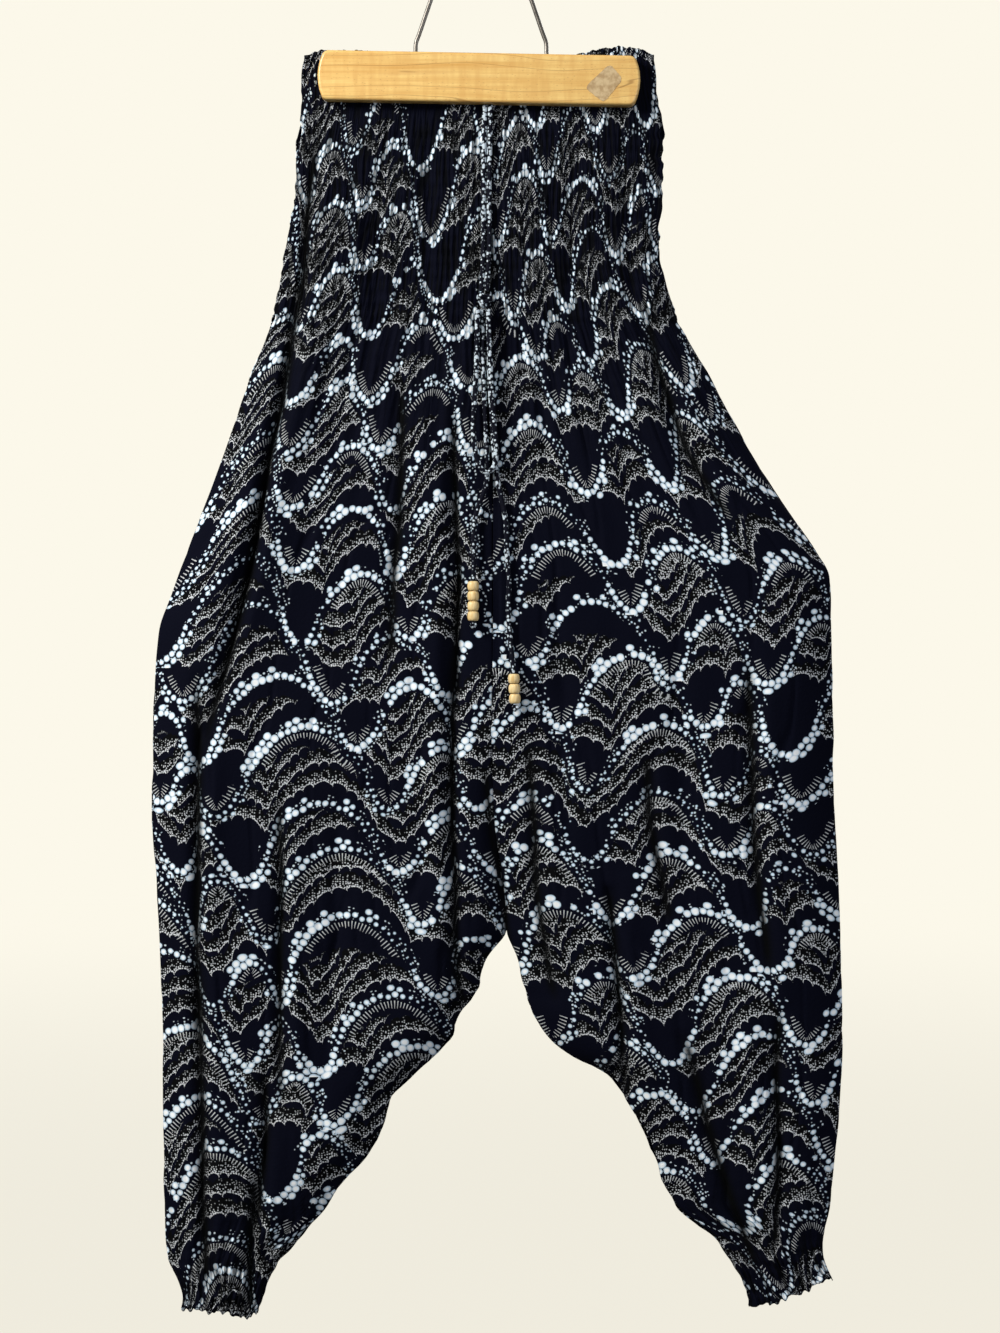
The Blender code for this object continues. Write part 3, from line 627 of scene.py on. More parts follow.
PrintString = namedtuple("PrintString", "along u v turn swell brow heart normal_u normal_v tree")


def lay_strings(seed):
    """The strings of the whole cloth from top to bottom, each as even points one millimetre apart."""
    chance = random.Random(seed)
    ends = [-520.0]
    while ends[-1] < PRINT_WIDTH + 120.0:
        widths = HILL_WIDTHS if len(ends) % 2 else HOLLOW_WIDTHS
        ends.append(ends[-1] + chance.uniform(*widths))
    strings = []
    base = -45.0
    above = None
    while base < PRINT_LENGTH + 60.0:
        level = base + chance.uniform(-8.0, 8.0)
        lifts = [chance.uniform(-3.0, 8.0) for _ in range(len(ends) + 1)]
        points = []
        for number, (u, u_end) in enumerate(zip(ends, ends[1:])):
            over_hill = number % 2 == 0
            side = 1.0 if over_hill else -1.0
            width = u_end - u
            height = width * (chance.uniform(0.4, 0.58) if over_hill else chance.uniform(0.55, 0.85))
            after = base + chance.uniform(-9.0, 9.0)
            peak = chance.uniform(0.24, 0.5) if over_hill else chance.uniform(0.42, 0.6)
            spread = chance.uniform(1.0, 1.5) if over_hill else chance.uniform(1.3, 1.8)
            strength = chance.choice((0.45, 0.8, 1.0, 1.0, 1.0, 1.0))
            ticked = chance.choice((0.42, 1.0, 1.0))
            islet = not over_hill and chance.random() < 0.5
            depth = chance.choice(HEARTS) if over_hill else 4.0
            for step in range(ARC_POINTS):
                angle = math.pi * step / ARC_POINTS
                share = mix(angle / math.pi, 0.5 - 0.5 * math.cos(angle), 0.35)
                flat = mix(level, after, share)
                # Over a hollow the hills behind meet in a cusp, or a lesser hill stands there.
                if islet:
                    rim = flat - 7.0 * math.sin(math.pi * share) ** 0.8
                else:
                    rim = flat + min(14.0, 0.6 * height) * (1.0 - abs(2.0 * share - 1.0)) ** 0.85
                lift = lifts[number if over_hill or islet
                             else number - 1 if share < 0.5 else number + 1]
                line = flat - side * height * math.sin(angle)
                points.append((
                    u + width * share, line, side * ticked * math.sin(angle) ** 0.7,
                    strength * math.exp(-((angle / math.pi - peak) * math.pi / spread) ** 4),
                    (line if over_hill else min(rim, line)) - lift,
                    4.0 + (depth - 4.0) * math.sin(angle) ** 0.6))
            level = after
        line = np.array(points)
        if above is not None:
            lowest = np.interp(line[:, 0], above.u, above.v) + SMALLEST_LANE
            pushed = np.maximum(line[:, 1], lowest) - line[:, 1]
            line[:, 1] += pushed
            line[:, 4] += pushed
        runs = np.hypot(np.diff(line[:, 0]), np.diff(line[:, 1]))
        walked = np.concatenate(([0.0], np.cumsum(runs)))
        even = np.arange(0.0, walked[-1], 1.0)
        u_even, v_even, turn, swell, brow, heart = (np.interp(even, walked, line[:, k])
                                                    for k in range(6))
        step_u, step_v = np.gradient(u_even), np.gradient(v_even)
        size = np.hypot(step_u, step_v)
        tree = kdtree.KDTree(len(even))
        for number in range(len(even)):
            tree.insert((u_even[number], v_even[number], 0.0), number)
        tree.balance()
        above = PrintString(even, u_even, v_even, turn, swell, brow, heart,
                            step_v / size, -step_u / size, tree)
        strings.append(above)
        base += chance.uniform(*STRING_SPACING)
        shift = chance.uniform(*ROW_SHIFT)
        moved = [ends[0] + shift]
        for end in ends[1:]:
            moved.append(max(moved[-1] + ARC_LEAST, end + shift + chance.uniform(-7.0, 7.0)))
        ends = moved
    return strings


PRINT_STRINGS = lay_strings(31)
print("strings:", len(PRINT_STRINGS))

# %% Measure the cloth against the strings


def nearest_on(string, us, vs):
    """For each place: distance to the string, signed offset above it, place along it, turn and swell."""
    found = np.array([string.tree.find((u, v, 0.0))[1] for u, v in zip(us, vs)], int)
    du, dv = us - string.u[found], vs - string.v[found]
    offset = du * string.normal_u[found] + dv * string.normal_v[found]
    along = string.along[found] + du * -string.normal_v[found] + dv * string.normal_u[found]
    return np.hypot(du, dv), offset, along, string.turn[found], string.swell[found]


def string_levels(us, vs):
    """How many strings lie above each place."""
    level = np.zeros(len(us), int)
    for string in PRINT_STRINGS:
        level += np.interp(us, string.u, string.v) < vs
    return level


def measure_strings(us, vs, faces):
    """For each face's corners, measured on the one string nearest to the middle of the face."""
    mid_u, mid_v = us[faces].mean(axis=1), vs[faces].mean(axis=1)
    level = string_levels(mid_u, mid_v)
    nearest = np.zeros(len(faces), int)
    for number in range(1, len(PRINT_STRINGS)):
        chosen = np.flatnonzero(level == number)
        to_upper, to_lower = (nearest_on(PRINT_STRINGS[k], mid_u[chosen], mid_v[chosen])[0]
                              for k in (number - 1, number))
        nearest[chosen] = number - (to_upper < to_lower)
    corner_string, corners = nearest.repeat(4), faces.ravel()
    found = np.zeros((5, len(corners)))
    for number, string in enumerate(PRINT_STRINGS):
        chosen = np.flatnonzero(corner_string == number)
        if not len(chosen):
            continue
        vertices, back = np.unique(corners[chosen], return_inverse=True)
        for row, values in zip(found, nearest_on(string, us[vertices], vs[vertices])):
            row[chosen] = values[back]
    away, offset, along, turn, swell = found
    # Where a face spans two flanks of a bend, or a crease, no string is drawn on it.
    torn = (np.ptp(along.reshape(-1, 4), axis=1) > TORN_SPAN).repeat(4)
    offset[torn], swell[torn] = FAR_OFF, 0.0
    return {
        "pearl_string": np.stack((along, offset, away), axis=1),
        "string_turn": np.stack((turn, swell, torn), axis=1),
    }


def measure_hills(us, vs):
    """For each place: height over the hills' brow, place along it, how far past a plain heart."""
    level = string_levels(us, vs)
    height, brow_along, hang, heart = (np.zeros(len(us)) for _ in range(4))
    for number in range(1, len(PRINT_STRINGS)):
        chosen = np.flatnonzero(level == number)
        upper, lower = PRINT_STRINGS[number - 1], PRINT_STRINGS[number]
        u, v = us[chosen], vs[chosen]
        height[chosen] = np.interp(u, lower.u, lower.brow) - v
        brow_walk = np.hypot(np.diff(lower.u), np.diff(lower.brow))
        brow_walk = np.concatenate(([0.0], np.cumsum(np.minimum(brow_walk, CUSP_STEP))))
        brow_along[chosen] = np.interp(u, lower.u, brow_walk) + BROW_SHIFT * number
        hang[chosen] = v - np.interp(u, upper.u, upper.v)
        heart[chosen] = np.interp(u, upper.u, upper.heart)
    return {"hill_rise": np.stack((height, brow_along, hang - heart), axis=1)}


# %% [markdown]
# ## Cloth shells
# Each panel starts as one flat grid, and its vertices are moved onto the courses. The gathers of
# the shirring are real waves in the shell, irregular in pitch and pinched at each row of elastic.
# Below the last elastic they open into soft folds and die out. A deep crease hides cloth, so the
# print skips on across it. The hems ruffle. A Solidify modifier then gives the shell its thickness.

# %% Soft irregular noise over the cloth


def drift(us, vs, across, down, seed):
    """Smooth noise from -1 to 1 whose lumps are about this wide and tall."""
    grid = np.random.default_rng(seed).uniform(-1.0, 1.0, (64, 64))
    x, y = us / across + 7.3, vs / down + 5.1
    column, row = np.floor(x).astype(int), np.floor(y).astype(int)
    fx, fy = x - column, y - row
    fx, fy = fx * fx * (3 - 2 * fx), fy * fy * (3 - 2 * fy)
    corner = [[grid[(row + a) % 64, (column + b) % 64] for b in (0, 1)] for a in (0, 1)]
    return mix(mix(corner[0][0], corner[0][1], fx), mix(corner[1][0], corner[1][1], fx), fy)


def soften(values, passes):
    """Round the corners of a table read along a panel."""
    values = values.copy()
    for _ in range(passes):
        values[1:-1] = 0.25 * values[:-2] + 0.5 * values[1:-1] + 0.25 * values[2:]
    return values


def swell_in(distance, reach):
    """0 at a folded edge, rising in a round curve to 1 at the given reach."""
    short = 1.0 - np.clip(distance / reach, 0.0, 1.0)
    return 1.0 - short * short


# %% Rows of one panel
COLUMNS = 150
ROW_BANDS = ((0, 46, 4.0), (46, 216, 2.5), (216, 890, 3.3), (890, 960, 2.4))  # from, to, step
CUT_WIDTH = 262.0               # a panel's width as cut
ANKLE_CUT_WIDTH = 118.0
HALF_SEAM = 0.1                 # half the gap between two shells
Course = namedtuple("Course", "key outer_x outer_drop inner_x inner_drop depth inner_depth")


def leg_courses(side):
    table = []
    for row in BODY:
        outer = row.right if side < 0 else row.left
        table.append((row.drop, outer, row.drop, row.centre + side * HALF_SEAM, row.drop,
                      row.depth, row.centre_depth))
    for row in (RIGHT_LEG if side < 0 else LEFT_LEG):
        table.append((row.inner_drop, row.outer_x, row.outer_drop, row.inner_x, row.inner_drop,
                      row.depth, 0.0))
    return np.array(table, float)


def course_rows(side):
    table = leg_courses(side)
    last = table[-1, 0]
    keys = []
    for start, end, step in ROW_BANDS:
        end = min(end, last)
        keys += list(np.arange(start, end, (end - start) / max(1, round((end - start) / step))))
    keys = np.array([key for key in keys if key < last - 0.5] + [last])
    columns = [np.interp(keys, table[:, 0], table[:, k]) for k in range(7)]
    columns[1] = soften(columns[1], 5)
    columns[3] = soften(columns[3], 2)
    for k in (5, 6):
        columns[k] = soften(columns[k], 12)
    return Course(*columns)


def cut_widths(course):
    """Flat cloth: full width at the top, its own width in the leg, gathered again at the ankle."""
    width = np.abs(course.inner_x - course.outer_x)
    body_cut = np.maximum(CUT_WIDTH, width)
    leg_cut = np.maximum(width * 1.02, ANKLE_CUT_WIDTH)
    return mix(body_cut, leg_cut, rises(CROTCH_DROP - 60, CROTCH_DROP + 20, course.key))


print("rows:", len(course_rows(-1).key), "right,", len(course_rows(1).key), "left")

# %% Folds, and the cloth that creases hide
DEEP_CREASE = -4.5              # a fold that sinks further than this hides cloth
HIDDEN_FOR_DEPTH = 1.7          # millimetres of cloth hidden for each millimetre that a crease sinks
CREASE_LIP = 1.6                # over which the hidden cloth is left out
HIDDEN_REACH = 160.0            # beside a crease, over which the print comes back to its place
CREASE_SHADE_SPREAD = 0.62              # of a crease's half width that is painted in shade


def fold_away(fold, x, drop):
    """Millimetres to the right of a fold's crest, and the share of its length passed."""
    along = np.clip((drop - fold.top_drop) / (fold.bottom_drop - fold.top_drop), 0.0, 1.0)
    control = 2.0 * fold.mid_x - 0.5 * (fold.top_x + fold.bottom_x)
    crest = ((1 - along) ** 2 * fold.top_x + 2 * along * (1 - along) * control
             + along ** 2 * fold.bottom_x)
    wander = 2.2 * drift(drop, drop * 0 + fold.mid_x, 46.0, 20.0, 5)
    return x - crest - wander, along


def fold_lift(folds, x, drop):
    total = np.zeros_like(x)
    for fold in folds:
        away, along = fold_away(fold, x, drop)
        total += (fold.rise * np.sqrt(np.sin(np.pi * along))
                  * np.exp(-np.abs(away / fold.half_width) ** 1.7))
    return total


def tucked_in(folds, x, drop):
    """How much cloth the creases hide on the way to each place, and how much painted shade it gets from
    lying inside one.
    """
    hidden, crease_shade = np.zeros_like(x), np.zeros_like(x)
    for fold in folds:
        if fold.rise > DEEP_CREASE:
            continue
        away, along = fold_away(fold, x, drop)
        # The depth comes in slowly along the crease, or the print beside its ends would shear.
        swallowed = -HIDDEN_FOR_DEPTH * fold.rise * np.sin(np.pi * along)
        past = 0.5 * (1.0 + np.tanh(away / CREASE_LIP))
        hidden += swallowed * past * np.exp(-np.maximum(away, 0.0) / HIDDEN_REACH)
        # Painted shade: the middle of each deep crease is marked for near black over the print.
        taper = np.clip(4.0 * np.sin(np.pi * along), 0.0, 1.0)
        crease_shade = np.maximum(crease_shade, taper * np.exp(-(away / (CREASE_SHADE_SPREAD * fold.half_width)) ** 2))
    return hidden, crease_shade


# %% Where the cloth is gripped, gathered and hemmed
GRIPPED_TO = 46.0               # the drop at which the clamp lets go
WAIST_SHIRRED_TO = 207.0
OPENING_LENGTH = 215.0          # below the waist's last elastic, over which its gathers die out
CALF_ABOVE_HEM = 170.0          # where the leg starts to draw in
ANKLE_ABOVE_HEM = 52.0          # where the ankle's elastic starts
HEM_EDGE = 9.0                  # the loose edge below the ankle's last elastic
Shares = namedtuple("Shares", "heading pressed waist opening calf ankle hem")


def gather_shares(keys, drop):
    """How much of each state the cloth is in, from 0 to 1. keys are the rows' own drops."""
    last = keys[-1]
    ankle = rises(last - ANKLE_ABOVE_HEM, last - 34.0, keys)[:, None] * np.ones_like(drop)
    return Shares(
        heading=1.0 - rises(2.0, 16.0, drop),
        pressed=1.0 - rises(GRIPPED_TO - 2, GRIPPED_TO + 14, drop),
        waist=(rises(GRIPPED_TO - 2, GRIPPED_TO + 16, drop)
               * (1.0 - rises(WAIST_SHIRRED_TO - 4, WAIST_SHIRRED_TO + 6, drop))),
        opening=(rises(WAIST_SHIRRED_TO - 8, WAIST_SHIRRED_TO + 8, drop)
                 * (1.0 - rises(WAIST_SHIRRED_TO + 10, WAIST_SHIRRED_TO + OPENING_LENGTH, drop))),
        calf=rises(last - CALF_ABOVE_HEM, last - 46.0, keys)[:, None] * (1.0 - ankle),
        ankle=ankle,
        hem=rises(last - HEM_EDGE, last, keys)[:, None])


# %% Waves of the gathers
FINE_WAVE = 8.2                 # from one small gather to the next, on the cut cloth
COARSE_WAVE = 21.0
HEM_WAVE = 15.0
HEM_EDGE_WAVE = 11.0
ELASTIC_PITCH = 10.0            # from one row of elastic to the next
Waves = namedtuple("Waves", "phase fine coarse elastic lump")


def gather_waves(u, v, seed):
    """Waves across the cut cloth, with a phase that wanders from row to row."""
    phase = u + 3.2 * drift(u, v, 17.0, 24.0, seed + 2) + 1.5 * drift(u, v, 8.0, 13.0, seed + 3)
    return Waves(
        phase=phase,
        fine=np.sin(phase * math.tau / FINE_WAVE),
        coarse=np.sin((u + 7.0 * drift(u, v, 30.0, 95.0, seed + 4)) * math.tau / COARSE_WAVE),
        elastic=1.0 - 0.35 * np.cos(v * math.tau / ELASTIC_PITCH),
        lump=0.65 + 0.35 * drift(u, v, 26.0, 30.0, seed + 5))


# %% How far the cloth stands off the middle plane
THIN_EDGE = 0.85                # a shell's stand at a folded edge, where the solid's wall rounds off
FREE_DEPTH = 6.0                # folds are full where the panel is deeper than this
GRIPPED_STAND = 1.9             # the most that the jaws leave room for


def broad_form(course, across, x, drop, folds, seed):
    """The stand before the gathers, the nearness of the folded edge and how free the cloth is."""
    width = np.abs(course.inner_x - course.outer_x)[:, None]
    reach = np.minimum(EDGE_ROLL, width * 0.5)
    from_outer = swell_in(across * width, reach)
    from_inner = swell_in((1.0 - across) * width, reach)
    full = mix(course.inner_depth[:, None], course.depth[:, None], from_inner) * from_outer
    free = np.minimum(1.0, full / FREE_DEPTH)
    off = full + fold_lift(folds, x, drop) * np.sqrt(from_outer) * free
    off += free * from_outer * 1.1 * drift(x, drop, 34.0, 90.0, seed)
    off += free * from_outer * 0.5 * drift(x, drop, 15.0, 34.0, seed + 1)
    return off, from_outer, free


def gathered_form(broad, u, v, share, wave, seed):
    """The broad form with the gathers' waves, hanging creases, the crinkled heading and the hem."""
    off, from_outer, free = broad
    fine, coarse, opening = wave.fine, wave.coarse, share.opening
    off += share.waist * (0.62 * fine * wave.elastic * wave.lump + 0.22 * coarse)
    off += opening * (0.95 * coarse * (1.0 - opening * 0.2) + 0.5 * fine * opening ** 3) * from_outer
    off += (share.ankle + 0.35 * share.calf) * (0.75 * fine * wave.elastic + 0.7 * coarse) * from_outer
    off += share.calf * 0.8 * coarse * from_outer
    # Thin creases that hang from the gathers, each a narrow trough.
    hanging = 1.0 - np.abs(drift(u, v, 15.0, 150.0, seed + 12)) / 0.13
    off -= 1.9 * np.maximum(0.0, hanging) * (1.0 - 0.6 * share.waist) * from_outer * free
    skin = THIN_EDGE + (CLOTH_WALL - THIN_EDGE) * from_outer
    out = np.maximum(0.0, off) + skin
    out = np.where(share.pressed > 0.5, np.minimum(out, GRIPPED_STAND), out)
    out += share.heading * (0.7 * fine + 0.5 * coarse - 0.6)
    out += share.hem * (0.9 + 1.2 * np.sin(wave.phase * math.tau / HEM_WAVE) * wave.lump)
    return out


# %% Loose edges
SIDE_EDGE = 0.12                # share of the width that the side's lumps reach


def loosen_edges(x, across, u, v, keys, side, share, wave, seed):
    """The heading crinkles, the sides are lumpy in the shirring and the ankle hem ruffles."""
    lift_top = np.interp(x, HEADING_X, HEADING_DROP) + 0.7 * wave.coarse + 0.4 * wave.fine
    drop = v + lift_top * (1.0 - rises(0.0, 40.0, v))
    drop = drop + share.hem * (0.8 * wave.lump * np.sin(wave.phase * math.tau / HEM_EDGE_WAVE + 1.0)
                               + 2.6 * drift(u, v, 13.0, 30.0, seed + 9)
                               + 1.9 * drift(u, v, 5.5, 30.0, seed + 13) - 0.4)
    # The gathers at the ankle make the inner leg's edge wavy.
    near_inner = rises(0.88, 1.0, across) * rises(CROTCH_DROP + 6, CROTCH_DROP + 40, keys)[:, None]
    x = x + side * near_inner * (1.8 * drift(v, v * 0, 16.0, 9.0, seed + 10)
                                 + 0.8 * drift(v, v * 0, 6.5, 9.0, seed + 11))
    near_side = 1.0 - rises(0.0, SIDE_EDGE, across)
    lumps = 1.5 * drift(v, v * 0, 5.5, 9.0, seed + 6) + 1.0 * drift(v, v * 0, 14.0, 9.0, seed + 7)
    x = x + side * near_side * (share.waist + 0.5 * share.pressed) * lumps
    x = x + side * near_side * 0.9 * drift(v, v * 0, 21.0, 9.0, seed + 8) * (1 - share.waist)
    return x, drop


# %% One panel's places
SEAM_OFF = 0.08                 # how far the seam's own column stands off the middle plane
CENTRE_TUCK = 1.1               # how far the right panel's centre edge sinks under the left one
CENTRE_LAP = 0.7                # and how far it reaches under it
EDGE_LIP = 0.002                # share of the width over which an edge turns in to its seam


def panel_places(side, face, seed):
    """Places in millimetres, flat-cloth u and v, the share of shirring and of painted crease shade, the
    cut.
    """
    course = course_rows(side)
    across = np.linspace(0.0, 1.0, COLUMNS + 1)
    across[1], across[-2] = EDGE_LIP, 1.0 - EDGE_LIP
    across = across[None, :].repeat(len(course.key), 0)
    x = mix(course.outer_x[:, None], course.inner_x[:, None], across)
    v = mix(course.outer_drop[:, None], course.inner_drop[:, None], across)
    cut = cut_widths(course)
    u = across * cut[:, None]
    folds = FRONT_FOLDS if face < 0 else BACK_FOLDS
    hidden, crease_shade = tucked_in(folds, x, v)
    share = gather_shares(course.key, v)
    wave = gather_waves(u, v, seed)
    broad = broad_form(course, across, x, v, folds, seed)
    out = gathered_form(broad, u, v, share, wave, seed)
    x, drop = loosen_edges(x, across, u, v, course.key, side, share, wave, seed)
    # At the sides and the inner leg the last column turns in to the middle. Down the centre the
    # wearer's right panel tucks under the left one, so no light shows through the seam.
    below_crotch = rises(CROTCH_DROP, CROTCH_DROP + 12.0, course.key)
    under = 1.0 if side < 0 else 0.0
    out[:, 0] = SEAM_OFF
    out[:, -1] = mix(np.maximum(out[:, -1] - CENTRE_TUCK * under, SEAM_OFF), SEAM_OFF, below_crotch)
    x[:, -1] += CENTRE_LAP * under * (1.0 - below_crotch)
    places = np.stack((x, face * (HALF_SEAM + out), at_drop(drop)), axis=2)
    shirring = np.clip(share.waist + 0.8 * share.pressed + share.ankle
                       + 0.35 * share.opening ** 2 + 0.4 * share.calf ** 2, 0, 1)
    return places, u - hidden * side, v, shirring, crease_shade, cut, course


# %% One panel as a shell
CLOTH_THICKNESS = 0.7
PRINT_GAP = 6.0                 # of print lost in the seams between two panels
Panel = namedtuple("Panel", "node side face seed print_offset")
PANELS = (
    Panel("front_right", -1, -1, 11, (20.0, 4.0)),
    Panel("front_left", 1, -1, 23, (290.0, 22.0)),
    Panel("back_right", -1, 1, 37, (560.0, 12.0)),
    Panel("back_left", 1, 1, 53, (830.0, 0.0)),
)


def make_panel(panel):
    places, u, v, shirring, crease_shade, cut, course = panel_places(panel.side, panel.face, panel.seed)
    rows = places.shape[0] - 1
    shape = bmesh.new()
    bmesh.ops.create_grid(shape, x_segments=COLUMNS, y_segments=rows, size=0.5)
    mesh = bpy.data.meshes.new("cloth_" + panel.node)
    shape.to_mesh(mesh)
    shape.free()
    flat = np.zeros(len(mesh.vertices) * 3)
    mesh.vertices.foreach_get("co", flat)
    flat = flat.reshape(-1, 3)
    column = np.rint((flat[:, 0] + 0.5) * COLUMNS).astype(int)
    row = np.rint((0.5 - flat[:, 1]) * rows).astype(int)
    mesh.vertices.foreach_set("co", (places[row, column] * MM).ravel())
    # The print runs up the right panels' u and down the left ones', so it isn't mirrored.
    way = panel.side * panel.face
    print_u = panel.print_offset[0] + u[row, column] * way + (CUT_WIDTH + PRINT_GAP if way < 0 else 0.0)
    print_v = panel.print_offset[1] + v[row, column]
    mesh.update()
    facing = sum(polygon.normal.y * polygon.area for polygon in mesh.polygons)
    if facing * panel.face < 0:
        mesh.flip_normals()
    corner_vertex = np.zeros(len(mesh.loops), int)
    mesh.loops.foreach_get("vertex_index", corner_vertex)
    faces = corner_vertex.reshape(-1, 4)
    for domain, measures in (("POINT", measure_hills(print_u, print_v)),
                             ("CORNER", measure_strings(print_u, print_v, faces))):
        for name, values in measures.items():
            attribute = mesh.attributes.new(name, "FLOAT_VECTOR", domain)
            attribute.data.foreach_set("vector", values.astype(np.float32).ravel())
    # The crease attribute is the share of painted shade inside a crease.
    for name, values in (("shirring", shirring), ("crease", crease_shade)):
        attribute = mesh.attributes.new(name, "FLOAT", "POINT")
        attribute.data.foreach_set("value", values[row, column].astype(np.float32))
    flat_cloth = mesh.uv_layers.new(name="flat_cloth")
    cloth_map = np.stack((print_u[corner_vertex], print_v[corner_vertex]), axis=1) * MM
    flat_cloth.data.foreach_set("uv", cloth_map.ravel())
    mesh.shade_smooth()
    shell = bpy.data.objects.new("cloth_" + panel.node, mesh)
    scene.collection.objects.link(shell)
    wall = shell.modifiers.new("cloth_wall", "SOLIDIFY")
    wall.thickness = CLOTH_THICKNESS * MM
    wall.offset = -1.0
    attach(shell, "root")
    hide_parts(panel.node)
    return shell


cloth = [make_panel(panel) for panel in PANELS]

# %% [markdown]
# ## The hanger
# Two maple bars close on the waist, one in front and one behind. A bar is a straight board with
# bowed ends, so one outline is extruded and its outer rim is eased. The bail and the hook are bent
# from one gauge of plated wire and meet in a turned collar.

# %% Jaws
JAW_LENGTH = 243.0
JAW_HEIGHT = 37.5
JAW_THICKNESS = 9.5
JAW_END_BULGE = 4.0
JAW_CORNER = 4.5
JAW_EDGE_ROUND = 2.2
JAW_CENTRE_X = -1.6
JAW_CENTRE_DROP = 23.1
JAW_TILT = math.radians(1.06)
CORNER_STEPS = 7
CORNER_SLOPE = 1.2              # how far a corner leans out towards the bowed end
SHARP_EDGE = math.radians(35)   # an edge that turns further than this is left crisp


def jaw_outline():
    half_length = JAW_LENGTH * 0.5 - JAW_END_BULGE
    half_height = JAW_HEIGHT * 0.5
    quarter = []
    for step in range(CORNER_STEPS + 1):
        share = step / CORNER_STEPS
        angle = math.pi * 0.5 * share
        quarter.append((half_length - JAW_CORNER + JAW_CORNER * math.sin(angle) + CORNER_SLOPE * share,
                        half_height - JAW_CORNER + JAW_CORNER * math.cos(angle)))
    quarter.append((half_length + JAW_END_BULGE * 0.62, half_height * 0.58))
    quarter.append((half_length + JAW_END_BULGE * 0.86, half_height * 0.34))
    quarter.append((half_length + JAW_END_BULGE, 0.0))
    right_end = quarter + [(x, -z) for x, z in reversed(quarter[:-1])]
    return right_end + [(-x, -z) for x, z in right_end]


def make_jaw(name, node, face):
    shape = bmesh.new()
    inner_y = face * (GAP * 0.5 + CLOTH_WALL + GAP)
    flat = shape.faces.new([shape.verts.new((x, inner_y, z)) for x, z in jaw_outline()])
    pushed = bmesh.ops.extrude_face_region(shape, geom=[flat])["geom"]
    outer = [item for item in pushed if isinstance(item, bmesh.types.BMVert)]
    bmesh.ops.translate(shape, vec=(0.0, face * JAW_THICKNESS, 0.0), verts=outer)
    rim = [edge for edge in shape.edges if all(vert in outer for vert in edge.verts)]
    bmesh.ops.bevel(shape, geom=rim, offset=JAW_EDGE_ROUND, affect="EDGES", segments=5,
                    profile=0.5, material=-1)
    bmesh.ops.recalc_face_normals(shape, faces=shape.faces)
    bmesh.ops.rotate(shape, cent=(0, 0, 0), matrix=Matrix.Rotation(JAW_TILT, 3, "Y"),
                     verts=shape.verts)
    bmesh.ops.translate(shape, vec=(JAW_CENTRE_X, 0.0, at_drop(JAW_CENTRE_DROP)),
                        verts=shape.verts)
    jaw = add_mesh(name, shape)
    jaw.data.set_sharp_from_angle(angle=SHARP_EDGE)
    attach(jaw, "root")
    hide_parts(node)
    return jaw


jaws = [make_jaw("maple_bar_front", "jaw_front", -1), make_jaw("maple_bar_back", "jaw_back", 1)]
print("bars:", len(jaws), "of", len(jaws[0].data.polygons), "faces")

# %% Bail, collar and hook
WIRE_DIAMETER = 3.3
BAIL_FOOT_X = 49.5
BAIL_FOOT_DROP = 9.6
BAIL_BEND_DROP = -5.5
BAIL_SHOULDER_DROP = -88.0
BAIL_NECK_DROP = -101.0
BAIL_LEAN = 0.355
FERRULE_LENGTH = 14.0
HOOK_BOW_RADIUS = 21.0
HOOK_SWEEP = (math.radians(-48), math.radians(205))
HOOK_STEPS = 11
WIRE_POINT_STEP = 2.4
WIRE_EASED_END = 0.82           # of the radius, at a filed end


def bail_route(side):
    shoulder_x = BAIL_FOOT_X - BAIL_LEAN * (BAIL_BEND_DROP - BAIL_SHOULDER_DROP)
    neck_x = WIRE_DIAMETER * 0.5 + GAP * 0.5
    places = (
        (BAIL_FOOT_X, BAIL_FOOT_DROP),
        (BAIL_FOOT_X, BAIL_BEND_DROP + 8.0),
        (BAIL_FOOT_X - 0.4, BAIL_BEND_DROP),
        (BAIL_FOOT_X - 0.4 - BAIL_LEAN * 8.0, BAIL_BEND_DROP - 8.0),
        (mix(BAIL_FOOT_X, shoulder_x, 0.5), mix(BAIL_BEND_DROP, BAIL_SHOULDER_DROP, 0.5)),
        (shoulder_x + 2.0, BAIL_SHOULDER_DROP + 6.0),
        (mix(shoulder_x, neck_x, 0.4), BAIL_SHOULDER_DROP - 3.4),
        (neck_x + 2.6, BAIL_NECK_DROP + 11.0),
        (neck_x + 0.1, BAIL_NECK_DROP + 5.6),
        (neck_x, BAIL_NECK_DROP + 2.4),
        (neck_x, BAIL_NECK_DROP + GAP + 0.1),
    )
    return [Vector((side * x, 0.0, at_drop(drop))) for x, drop in places]


def hook_route():
    inner = HOOK_BOW_RADIUS - WIRE_DIAMETER * 0.5
    stem_foot = at_drop(BAIL_NECK_DROP) + FERRULE_LENGTH + GAP
    stem_top = -inner - HOOK_BOW_RADIUS - 9.0
    points = [
        Vector((0.0, 0.0, stem_foot)),
        Vector((0.0, 0.0, mix(stem_foot, stem_top, 0.5))),
        Vector((0.8, 0.0, stem_top)),
        Vector((6.5, 0.0, -inner - HOOK_BOW_RADIUS - 1.5)),
    ]
    for step in range(HOOK_STEPS + 1):
        angle = mix(*HOOK_SWEEP, step / HOOK_STEPS)
        points.append(Vector((HOOK_BOW_RADIUS * math.cos(angle), 0.0,
                              -inner + HOOK_BOW_RADIUS * math.sin(angle))))
    return points


wires = []
for name, node, route in (("wire_bail_right", "bail_right", bail_route(-1)),
                          ("wire_bail_left", "bail_left", bail_route(1)),
                          ("wire_hook", "hook", hook_route())):
    points = smooth_route(route, WIRE_POINT_STEP)
    radii = [1.0] * len(points)
    radii[0] = radii[-1] = WIRE_EASED_END
    wire = add_tube(name, points, WIRE_DIAMETER, 7, radii)
    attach(wire, "root")
    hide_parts(node)
    wires.append(wire)
    print(name, round(route_length(points), 3), "m")

